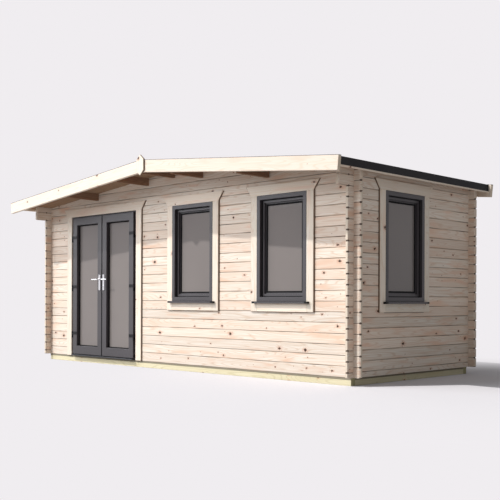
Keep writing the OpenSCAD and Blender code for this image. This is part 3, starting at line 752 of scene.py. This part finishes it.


# %% Roof timbers and boards
# The roof boards are a browner wood than the logs, darkened further as painted shade for the shade under the
# roof.
ROOF_TONES_WITH_PAINTED_SHADE = ("a58b72", "967a62", "785a43", "957259", "8f7359")
FLOOR_TONES = ("e0cfb6", "d6bf9d", "bd9a70", "dab898", "cbb08b")
SAWN_TONES = ("9a7c66", "876852", "6a4b39", "8e6852", "8c6a54")
ROOF_COVER, FLOOR_COVER = 0.121, 0.124  # the width that one board covers
ROOF_V, FLOOR_V = 0.003, 0.0015  # the chamfers that make the V between two boards
roof_lining = spruce("planed_spruce_roof_boards", X, Y, ROOF_TONES_WITH_PAINTED_SHADE, every=0.5, wide=0.12, roughness=0.8,
                     gloss=0.12)
floor_lining = spruce("planed_spruce_floor_boards", X, Y, FLOOR_TONES, every=0.5, wide=0.12)
sawn_timber = spruce("sawn_spruce_purlins", Y, UP, SAWN_TONES, every=0.45, wide=0.095, roughness=0.85,
                     gloss=0.15)
for side in ("left", "right"):
    sawn_boards(side + "_roof_lining", "roof_boards_" + side, ROOF_COVER, roof_lining, ROOF_V)
sawn_boards("floor_lining", "floor", FLOOR_COVER, floor_lining, FLOOR_V)
for node in ("ridge_purlin", "left_purlins", "right_purlins"):
    eased(node, EASED, sawn_timber)

# %% [markdown]
# ## Bearers and joists
# The timber on the ground is pressure treated, which turns spruce a dull yellowish green. It is sawn and not
# planed, so it is rougher, and its edges are eased at the mill.

# %% Treated timber
TREATED_TONES = ("e2d9bb", "d6cba9", "b5a97f", "d8cba6", "b3ab84")
treated_long, treated_cross = (
    spruce(f"treated_spruce_{way}_bearers", axis, UP, TREATED_TONES, every=0.5, wide=0.086, roughness=0.8)
    for way, axis in (("long", X), ("cross", Y)))
eased("long_bearers", EASED, treated_long)
eased("side_bearers", EASED, treated_cross)
eased("floor_joists", EASED, treated_cross)

# %% [markdown]
# A strip of bitumen felt keeps damp out of the first log. It lies on the bearers, and its edge is dressed
# 24 mm down over their outer faces, where its dark colour paints the shade under the first log, as a dark
# line all round the cabin. Only that edge is made. Mineral grit about 2 mm wide makes it dull and rough.

# %% Felt strip
felt = finish("bitumen_felt_painted_shade", ("746c5a", "9a917d"), 500.0, {"Roughness": 0.85}, bump=(0.4, 0.0008))
FELT, FALL = 0.0016, 0.024  # thickness, and how far the edge hangs down
SUNK = 0.001  # how far it is pressed into the timber
strip, strips = bmesh.new(), 0
for node, facing in (("long_bearers", 1), ("side_bearers", 0)):
    for low, high in solids_of(node):
        near, far = low.copy(), high.copy()
        outward, face = max((-1, low[facing]), (1, high[facing]), key=lambda way: abs(way[1]))
        near[facing], far[facing] = sorted((face - outward * SUNK, face + outward * FELT))
        near.z, far.z = high.z - FALL, high.z - 0.0005
        block(strip, near, far)
        strips += 1
piece("felt_strip_painted_shade", strip, felt, "cabin", slot_of("long_bearers"))
print("felt strips", strips)

# %% [markdown]
# ## Roof covering
# A sheet of black rubber lies over foam boards and is turned down at the eaves. It is smooth with a dull
# sheen, with faint ripples about 0.3 m apart where it was rolled out, and specks of dust about 4 mm apart.

# %% Rubber sheet
rubber_sheet, tree = new_material("black_roof_rubber")
here = add(tree, "TexCoord").outputs["Object"]
ripple = add(tree, "TexNoise", {"Vector": here, "Scale": 3.0, "Detail": 2.0})
dust = add(tree, "TexNoise", {"Vector": here, "Scale": 260.0, "Detail": 3.0})
dust = add(tree, "MapRange", [dust, 0.45, 0.8])
shade = add(tree, "Mix", {0: dust, 6: linear("111012"), 7: linear("232224")}, data_type="RGBA")
bump = add(tree, "Bump", {"Strength": 0.5, "Distance": 0.004, "Height": ripple})
sheen = add(tree, "MapRange", [ripple, 0, 1, 0.55, 0.75])
shader = add(tree, "BsdfPrincipled", {"Base Color": shade, "Roughness": sheen, "IOR": 1.5,
                                      "Specular IOR Level": 0.2, "Normal": bump})
add(tree, "OutputMaterial", {"Surface": shader})
for side in ("left", "right"):
    eased("roof_membrane_" + side, 0.0014, rubber_sheet)
print("rubber nodes", len(tree.nodes))

# %% [markdown]
# The foam boards show only at their cut edges, as cells about 5 mm across. The rubber laps over the top of
# the fascias at the front and back: each lap is the top face of the board, drawn up.

# %% Foam and rubber laps
foam, tree = new_material("foil_faced_foam")
here = add(tree, "TexCoord").outputs["Object"]
grains = add(tree, "TexVoronoi", {"Vector": here, "Scale": 180.0})
shade = add(tree, "Mix", {0: grains, 6: linear("e6dfc4"), 7: linear("cfc6a4")}, data_type="RGBA")
add(tree, "OutputMaterial", {"Surface": add(tree, "BsdfPrincipled", {"Base Color": shade, "Roughness": 0.8})})
frame["nodes"]["roof_insulation"].material_slots[0].material = foam

LAP = 0.0032  # thickness of the rubber over a fascia
laps = bmesh.new()
for end, side in (("front", "left"), ("front", "right"), ("back", "left"), ("back", "right")):
    board = copy_of(f"{end}_fascia_{side}")
    board.normal_update()
    top = max(board.faces, key=lambda face: face.normal.z)
    bmesh.ops.delete(board, geom=[face for face in board.faces if face is not top], context="FACES")
    made = bmesh.ops.extrude_face_region(board, geom=board.faces[:], use_keep_orig=True)["geom"]
    raised = [v for v in made if isinstance(v, bmesh.types.BMVert)]
    bmesh.ops.translate(board, verts=raised, vec=(0, 0, LAP))
    bmesh.ops.recalc_face_normals(board, faces=board.faces)
    join(laps, board)
piece("membrane_laps", laps, rubber_sheet, "cabin", "roof_membrane")
print("rubber laps", LAP * 1000, "mm thick")

# %% [markdown]
# ## Painted joinery
# The door and the windows are coated in satin anthracite: a dark blue grey that mirrors the sky softly. The
# coating has a very fine texture, about 2.5 mm wide, and is a little more worn in some places than in
# others.

# %% Anthracite coating
anthracite, tree = new_material("satin_anthracite_coating")
here = add(tree, "TexCoord").outputs["Object"]
orange_peel = add(tree, "TexNoise", {"Vector": here, "Scale": 420.0, "Detail": 2.0})
wear = add(tree, "TexNoise", {"Vector": here, "Scale": 2.5, "Detail": 3.0})
shade = add(tree, "Mix", {0: wear, 6: linear("3c383a"), 7: linear("454144")}, data_type="RGBA")
bump = add(tree, "Bump", {"Strength": 0.12, "Distance": 0.0004, "Height": orange_peel})
sheen = add(tree, "MapRange", [wear, 0, 1, 0.40, 0.50])
shader = add(tree, "BsdfPrincipled", {"Base Color": shade, "Roughness": sheen, "IOR": 1.5,
                                      "Specular IOR Level": 0.4, "Normal": bump})
add(tree, "OutputMaterial", {"Surface": shader})
for node in ("window_frames", "window_sashes", "door_jambs", "door_head"):
    eased(node, 0.0025, anthracite)
for side in ("left", "right"):
    eased("door_leaf_" + side, EASED, anthracite, body="door_" + side)
print("boards and frames numbered up to", boards_numbered)

# %% [markdown]
# ## Glass
# The panes are sealed double units of grey-tinted glass. Alpha stands for the share of light that each of
# the two faces stops, which keeps the tint and the reflection and still shows the room behind.

# %% Tinted glass
tinted_glass = finish("grey_tinted_glass", ("88807d", "918985"), 1.5,
                      {"Roughness": 0.06, "IOR": 1.5, "Specular IOR Level": 0.35, "Alpha": 0.78})
for node in ("door_glass_left", "door_glass_right", "window_glass"):
    frame["nodes"][node].material_slots[0].material = tinted_glass
    print(node, "panes", len(solids_of(node)))

# %% [markdown]
# ## Seals and glazing beads
# Black rubber seals run round every pane and between sash and frame, and their black also paints the shade
# in the gaps and reveals there. Beads clip each window pane in from both sides. Each is a flat ring: a block
# whose two faces are inset, opened and bridged.


# %% Rings
def ring(bm, box, facing, front, thick, bar, grow=0.0):
    """A flat ring round a pane's box, with bars of one width. front is where its outer face is, and thick how
    far it runs inwards from there."""
    spread = Vector((grow, grow, grow))
    low, high = box[0] - spread, box[1] + spread
    inward = -1 if facing == 0 else 1
    low[facing], high[facing] = sorted((front, front + inward * thick))
    corners = block(bm, low, high)
    bm.normal_update()
    sides = []
    for face in (f for v in corners for f in v.link_faces):
        if abs(face.normal[facing]) > 0.9 and face not in sides:
            sides.append(face)
    bmesh.ops.inset_individual(bm, faces=sides, thickness=bar, use_even_offset=True)
    rims = [e for face in sides for e in face.edges]
    bmesh.ops.delete(bm, geom=sides, context="FACES_ONLY")
    bmesh.ops.bridge_loops(bm, edges=rims)


# The rubber is dusty, so it barely shines. A bloom on it wavers over about 15 mm.
seal_rubber = finish("black_seal_rubber", ("0d0d0e", "18181a"), 60.0,
                     {"Roughness": 0.8, "Specular IOR Level": 0.12})
print("rubber ready:", seal_rubber.name)

# %% [markdown]
# A window's pane has a seal outside and a bead on each side, and another seal runs round the sash, beside
# the frame. A door pane has a seal outside and a bead inside.

# %% Seals and beads
FRAME_LAP = 0.012  # the frame covers this much of the sash
# The seals' black is partly painted shade: the sash seal for the shaded gap between sash and frame, and the
# pane seals for the shaded reveals round the panes.
# How far each ring stands out, and how wide it is.
PANE_SEAL, PANE_SEAL_BAR = 0.004, 0.031
SASH_SEAL, SASH_SEAL_BAR = 0.003, 0.009
WINDOW_BEAD, OUTER_BEAD_BAR, INNER_BEAD_BAR = 0.009, 0.012, 0.031
DOOR_SEAL, DOOR_SEAL_BAR = 0.006, 0.012
DOOR_BEAD, DOOR_BEAD_BAR = 0.005, 0.016
seals, beads = bmesh.new(), bmesh.new()
for pane, sash in zip(solids_of("window_glass"), solids_of("window_sashes")):
    facing, outward, outer, inner = outside_of(*pane)
    sash_face = sash[1].x if facing == 0 else sash[0].y
    ring(seals, pane, facing, outer + outward * PANE_SEAL, PANE_SEAL, PANE_SEAL_BAR)
    ring(seals, sash, facing, sash_face + outward * SASH_SEAL, SASH_SEAL, SASH_SEAL_BAR, grow=-FRAME_LAP)
    ring(beads, pane, facing, outer + outward * WINDOW_BEAD, WINDOW_BEAD, OUTER_BEAD_BAR)
    ring(beads, pane, facing, inner - outward * 0.0005, WINDOW_BEAD, INNER_BEAD_BAR)
piece("window_seals", seals, seal_rubber, "cabin", "painted_joinery")
piece("window_beads", beads, anthracite, "cabin", "painted_joinery")
for side in ("left", "right"):
    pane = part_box("door_glass_" + side)
    seals, beads = bmesh.new(), bmesh.new()
    ring(seals, pane, 1, pane[0].y - DOOR_SEAL, DOOR_SEAL, DOOR_SEAL_BAR)
    ring(beads, pane, 1, pane[1].y + 0.0002, DOOR_BEAD, DOOR_BEAD_BAR)
    piece("door_seal_" + side, seals, seal_rubber, "door_" + side, "painted_joinery")
    piece("door_bead_" + side, beads, anthracite, "door_" + side, "painted_joinery")
print("windows ringed", len(solids_of("window_glass")))

# %% [markdown]
# A flat black rubber lip on the edge of the left leaf covers most of the gap between the leaves, and its
# black paints the shade in that gap. It stops 5 mm short of the right one, so that either leaf can open
# first.

# %% Meeting seal
leaf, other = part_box("door_leaf_left"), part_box("door_leaf_right")
lip = bmesh.new()
block(lip, (leaf[1].x - 0.004, leaf[0].y - 0.002, leaf[0].z + 0.004),
      (other[0].x - 0.005, leaf[0].y + 0.001, leaf[1].z - 0.004))
ease(lip, 0.0008, shortest=0.002)
piece("meeting_seal_painted_shade", lip, seal_rubber, "door_left", "painted_joinery")
print("gap between the leaves", round(other[0].x - leaf[1].x, 3))

# %% [markdown]
# ## Drip sills
# Each window stands on a sill of folded aluminium sheet with the same coating. It ends 24 mm short of the
# solid at each end, its front edge is turned down 22 mm to drip, and black plastic caps close the ends; their
# black is partly painted shade at the sill's ends. The plastic has a spark texture about 1 mm wide from its
# mould.

# %% Drip sills
black_plastic = finish("black_plastic", ("0c0c0c", "151414"), 900.0,
                       {"Roughness": 0.6, "Specular IOR Level": 0.2}, detail=1.0)
SHEET, LIP, NOSE = 0.002, 0.022, 0.009  # sheet, height of the lip, and how far it stands out past the solid
SHORT, CAP, CAP_WALL = 0.024, 0.040, 0.001  # how much shorter at each end, length of a cap and its thickness
FOLD = 0.0008  # the round on a fold or a moulded edge
sheets, caps = bmesh.new(), bmesh.new()
for low, high in solids_of("window_sills"):
    facing, outward, solid_face, back = outside_of(low, high)
    run, face = 1 - facing, solid_face + outward * NOSE
    start, end = low[run] + SHORT, high[run] - SHORT
    bars = [(sheets, start, end, high.z - SHEET, face, back),
            (sheets, start, end, high.z - LIP, face, face - outward * SHEET)]
    for left, right in ((start - CAP_WALL, start + CAP), (end - CAP, end + CAP_WALL)):
        bars.append((caps, left, right, high.z - LIP - CAP_WALL, face + outward * CAP_WALL, back))
    for bm, left, right, bottom, front, rear in bars:
        near, far = low.copy(), high.copy()
        near[run], far[run], near.z = left, right, bottom
        near[facing], far[facing] = sorted((front, rear))
        block(bm, near, far)
for bm in (sheets, caps):
    ease(bm, FOLD, shortest=2 * FOLD)
piece("folded_sills", sheets, anthracite, "cabin", "painted_joinery", "window_sills")
piece("sill_end_caps", caps, black_plastic, "cabin", "painted_joinery")
print("sills", len(solids_of("window_sills")))

# %% [markdown]
# ## Screws
# A countersunk screw shows as a low disc that narrows upwards, with a socket sunk in it for the driver.


# %% Screws
def screw(bm, centre, outward, radius=0.004):
    outward = Vector(outward)
    head = rod(bm, Vector(centre) - outward * 0.001, outward, radius, 0.0018, radius * 0.8, segments=12)
    bm.normal_update()
    face = max((f for v in head for f in v.link_faces), key=lambda f: f.normal.dot(outward) + f.calc_area())
    bmesh.ops.inset_individual(bm, faces=[face], thickness=radius * 0.35, depth=-0.0007, use_even_offset=True)


print("screw ready")

# %% [markdown]
# ## Threshold
# The threshold is a dark anodised aluminium section, drawn along its length, which leaves lines 1 mm apart.
# A nose on it carries rain clear of the bearer and throws a small shadow on it.

# %% Threshold
threshold_metal = finish("dark_anodised_aluminium", ("3c3c3e", "57575a"), 1.0, {"Metallic": 1.0},
                         rough=(0.0, 1.0, 0.32, 0.5), stretch=(3.0, 900.0, 900.0))
eased("door_threshold", 0.0015, threshold_metal)
NOSE_PAST_LEAF, NOSE_TALL, NOSE_DEEP, NOSE_SUNK = 0.008, 0.012, 0.052, 0.004
sill_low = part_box("door_threshold")[0]
nose_back, nose_bottom = sill_low.y + NOSE_SUNK, sill_low.z + 0.003
nose = bmesh.new()
block(nose, (leaf[0].x - NOSE_PAST_LEAF, nose_back - NOSE_DEEP, nose_bottom),
      (other[1].x + NOSE_PAST_LEAF, nose_back, nose_bottom + NOSE_TALL))
ease(nose, 0.002)
piece("threshold_nose", nose, threshold_metal, "cabin", "threshold_metal")
print("threshold nose at y", round(nose_back - NOSE_DEEP, 3))

# %% [markdown]
# ## Hinges
# Each leaf hangs on three lift-off hinges in powder-coated steel, whose powder grains are about 1.5 mm wide.
# The solids hold the barrels, pins and plates. Here they get pin caps and countersunk screws.

# %% Hinge caps and screws
hinge_coat = finish("powder_coated_hinge_steel", ("161618", "222225"), 700.0,
                    {"Roughness": 0.42, "IOR": 1.5, "Specular IOR Level": 0.15}, bump=(0.2, 0.0003))
for node in ("frame_hinges", "leaf_hinges_left", "leaf_hinges_right"):
    frame["nodes"][node].material_slots[0].material = hinge_coat
joints = {joint["name"]: Vector(joint["pos_m"]) for joint in frame["joints"]}
CAP_RADIUS, CAP_TOP_RADIUS, CAP_TALL = 0.0076, 0.0035, 0.005
PLATE_SCREWS = ((0.012, 0.010), (0.036, -0.010), (0.060, 0.010))  # from the plate's end, and above its middle
fixed_caps = bmesh.new()
for side, inwards in (("left", -1), ("right", 1)):
    pin = joints[side + "_door_hinge"]
    trimmings = bmesh.new()
    for low, high in solids_of("leaf_hinges_" + side):
        lowest = 2 * low.z - high.z - 0.0005  # the fixed half of the barrel is as tall as the leaf's half
        rod(trimmings, (pin.x, pin.y, high.z), UP, CAP_RADIUS, CAP_TALL, CAP_TOP_RADIUS)
        rod(fixed_caps, (pin.x, pin.y, lowest), (0, 0, -1), CAP_RADIUS, CAP_TALL, CAP_TOP_RADIUS)
        far_end = high.x if side == "left" else low.x
        for along_plate, above in PLATE_SCREWS:
            place = (far_end + inwards * along_plate, pin.y, (low.z + high.z) / 2 + above)
            screw(trimmings, place, (0, -1, 0))
    piece("hinge_trimmings_" + side, trimmings, hinge_coat, "door_" + side, "hinge_steel")
piece("fixed_hinge_caps", fixed_caps, hinge_coat, "cabin", "hinge_steel")
print("hinge pins at x", round(joints["left_door_hinge"].x, 3), round(joints["right_door_hinge"].x, 3))

# %% [markdown]
# ## Handles
# Lever handles on long plates, in polished chrome, which mirrors what is round it and dulls a little where
# fingers touch it, in marks about 25 mm wide. The plates' corners are rounded and their rims eased.

# %% Handle plates
chrome = finish("polished_chrome", ("eeeef0", "e2e2e6"), 40.0, {"Metallic": 1.0}, detail=3.0,
                rough=(0.3, 0.8, 0.12, 0.26))
PLATE_THICK, PLATE_CORNER = 0.009, 0.012
SCREW_INSET, PLATE_SCREW = 0.014, 0.0034


def shape_plates(side):
    plates = copy_of("handle_plates_" + side)
    corners = [e for e in plates.edges if abs(e.calc_length() - PLATE_THICK) < 1e-4 and e.is_convex
               and e.calc_face_angle(0) > math.radians(80)]
    bmesh.ops.bevel(plates, geom=corners, offset=PLATE_CORNER, segments=6, **BEVEL)
    rims = [e for e in plates.edges if len(e.link_faces) == 2 and e.is_convex and e.calc_face_angle(0) > 1.0
            and abs((e.verts[0].co - e.verts[1].co).normalized().y) <= 0.9]
    bmesh.ops.bevel(plates, geom=rims, offset=0.0014, segments=2, **BEVEL)
    low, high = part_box("handle_plates_" + side)
    for height in (low.z + SCREW_INSET, high.z - SCREW_INSET):
        screw(plates, ((low.x + high.x) / 2, low.y, height), (0, -1, 0), PLATE_SCREW)
        screw(plates, ((low.x + high.x) / 2, high.y, height), (0, 1, 0), PLATE_SCREW)
    piece("shaped_handle_plates_" + side, plates, chrome, "door_" + side, "handle_chrome",
          "handle_plates_" + side)


print("chrome ready:", chrome.name)

# %% [markdown]
# A lever is one bent bar: a circle is drawn out of the plate, swung through a quarter turn and drawn along
# to its tip, with a little flattening on the way and a rounded end.


# %% Levers
def draw_out(bm, rim, move, scale=None, about=None):
    """Extrudes an open rim along a move, then scales it about a point. Returns the new rim."""
    made = bmesh.ops.extrude_edge_only(bm, edges=rim)["geom"]
    corners = [v for v in made if isinstance(v, bmesh.types.BMVert)]
    bmesh.ops.translate(bm, verts=corners, vec=move)
    if scale:
        bmesh.ops.scale(bm, verts=corners, vec=scale, space=Matrix.Translation(-about))
    return [e for e in made if isinstance(e, bmesh.types.BMEdge) and all(v in corners for v in e.verts)]


LEVER_RADIUS, LEVER_BEND = 0.009, 0.016
# The share of the straight part that each step takes, and the share of the bar's thickness that it leaves.
LEVER_STEPS = ((0.25, 0.86), (0.3, 0.92), (0.39, 1.0), (0.035, 0.86), (0.025, 0.6))


def lever(bm, spindle, plate_y, axis_y, tip_x):
    outward, side = (1 if axis_y > plate_y else -1), (1 if tip_x > spindle.x else -1)
    circle = Matrix.Translation((spindle.x, plate_y, spindle.z)) @ Matrix.Rotation(math.pi / 2, 4, "X")
    start = bmesh.ops.create_circle(bm, cap_ends=False, segments=24, radius=LEVER_RADIUS,
                                    matrix=circle)["verts"]
    rim = [e for e in bm.edges if all(v in start for v in e.verts)]
    rim = draw_out(bm, rim, (0, axis_y - outward * LEVER_BEND - plate_y, 0))
    at = spindle.x + side * LEVER_BEND
    swing = bmesh.ops.spin(bm, geom=rim, cent=(at, axis_y - outward * LEVER_BEND, spindle.z), axis=UP,
                           angle=-outward * side * math.pi / 2, steps=8, use_merge=False)
    rim = [e for e in swing["geom_last"] if isinstance(e, bmesh.types.BMEdge)]
    length = abs(tip_x - at)
    for share, flat in LEVER_STEPS:
        step = side * share * length
        at += step
        rim = draw_out(bm, rim, (step, 0, 0), (1, flat, flat), Vector((at, axis_y, spindle.z)))
    bmesh.ops.holes_fill(bm, edges=rim, sides=0)
    collar = (spindle.x, plate_y + outward * 0.0094, spindle.z)
    rod(bm, collar, (0, outward, 0), 0.013, 0.004, 0.0118)


print("steps along a lever:", len(LEVER_STEPS))

# %% [markdown]
# One square spindle carries the outer and the inner lever through the leaf, and the plates stay on the leaf.

# %% Plates and levers on the leaves
SPINDLE_HALF = Vector((0.004, 0.004, 0.004))
LEVER_GAP = 0.0004  # between the start of a lever and the leaf
for side in ("left", "right"):
    shape_plates(side)
    spindle = joints[side + "_lever"]
    leaf_low, leaf_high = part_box("door_leaf_" + side)
    reach_low, reach_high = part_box("lever_" + side)
    tip = reach_low.x if side == "left" else reach_high.x
    levers = bmesh.new()
    lever(levers, spindle, leaf_low.y - LEVER_GAP, reach_low.y + LEVER_RADIUS, tip)
    lever(levers, spindle, leaf_high.y + LEVER_GAP, reach_high.y - LEVER_RADIUS, tip)
    block(levers, Vector((spindle.x, leaf_low.y, spindle.z)) - SPINDLE_HALF,
          Vector((spindle.x, leaf_high.y, spindle.z)) + SPINDLE_HALF)
    bmesh.ops.recalc_face_normals(levers, faces=levers.faces)
    made = piece("bent_lever_" + side, levers, chrome, "handle_" + side, "handle_chrome", "lever_" + side)
    made.data.shade_smooth()
    print(side, "lever faces", len(made.data.polygons))

# %% [markdown]
# The right leaf opens first, so it holds the lock: a profile cylinder below the lever, 92 mm from the
# spindle.

# %% Lock cylinder
LOCK_DROP = 0.092
LOCK_RADIUS = 0.0085
LOCK_TALL, LOCK_HALF = 0.0245, 0.005  # the flat part below the round one: its height and half its width
low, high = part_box("handle_plates_right")
lock, keyway = bmesh.new(), bmesh.new()
for face_y, outward in ((low.y, -1), (high.y, 1)):
    centre = Vector((spindle.x, face_y, spindle.z - LOCK_DROP))
    rod(lock, centre - Vector((0, outward * 0.002, 0)), (0, outward, 0), LOCK_RADIUS, 0.005, LOCK_RADIUS)
    near, far = sorted((face_y - outward * 0.002, face_y + outward * 0.0028))
    block(lock, (centre.x - LOCK_HALF, near, centre.z - LOCK_TALL), (centre.x + LOCK_HALF, far, centre.z))
    # The keyway is a thin black block just proud of the cylinder's face: painted shade for the slot.
    near, far = sorted((face_y + outward * 0.002, face_y + outward * 0.0034))
    block(keyway, (centre.x - 0.0009, near, centre.z - 0.004), (centre.x + 0.0009, far, centre.z + 0.0045))
piece("lock_cylinder", lock, chrome, "door_right", "handle_chrome")
piece("lock_keyway_painted_shade", keyway, seal_rubber, "door_right", "handle_chrome")
print("lock centre", round(spindle.z - LOCK_DROP, 3))

# %% [markdown]
# ## Screws in the trim
# Casings and fascias are screwed on with small stainless screws, in the middle of the casings and in pairs
# along the fascias. Their heads lie almost flush, with tool marks about 1 mm wide.

# %% Places for the screws
stainless = finish("stainless_steel", ("b4b4b6", "cacacc"), 900.0, {"Metallic": 1.0, "Roughness": 0.35},
                   detail=1.0)
TRIM_SCREW = 0.0035


def evenly(start, stop, inset, apart):
    """Places along a board, inset from its ends and at most a given length apart."""
    start, stop = start + inset, stop - inset
    gaps = max(1, math.ceil((stop - start) / apart))
    return [start + (stop - start) * i / gaps for i in range(gaps + 1)]


print("screws along a board of 1 m", len(evenly(0, 1, 0.06, 0.45)))

# %% Stainless screws
screws, count = bmesh.new(), 0
for node in ("casing_side_boards", "casing_heads", "casing_bottoms"):
    for low, high in solids_of(node):
        facing, way, face, back = outside_of(low, high)
        outward = Vector((0, 0, 0))
        outward[facing] = way
        lengthwise = 2 if high.z - low.z > 0.5 else 1 - facing
        for at in evenly(low[lengthwise], high[lengthwise], 0.06, 0.45):
            point = (low + high) / 2
            point[lengthwise], point[facing] = at, face
            screw(screws, point, outward, TRIM_SCREW)
            count += 1
rise = math.tan(SLOPE)
for end, outward in (("front", -1), ("back", 1)):
    for side in ("left", "right"):
        low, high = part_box(f"{end}_fascia_{side}")
        tall = high.z - low.z - rise * (high.x - low.x)
        for x in evenly(low.x, high.x, 0.12, 0.62):
            from_eaves = x - low.x if side == "left" else high.x - x
            for share in (0.28, 0.72):
                place = (x, low.y if outward < 0 else high.y, low.z + rise * from_eaves + tall * share)
                screw(screws, place, (0, outward, 0), TRIM_SCREW)
                count += 1
piece("trim_screws", screws, stainless, "cabin", "trim_boards")
print("screws in the trim", count)
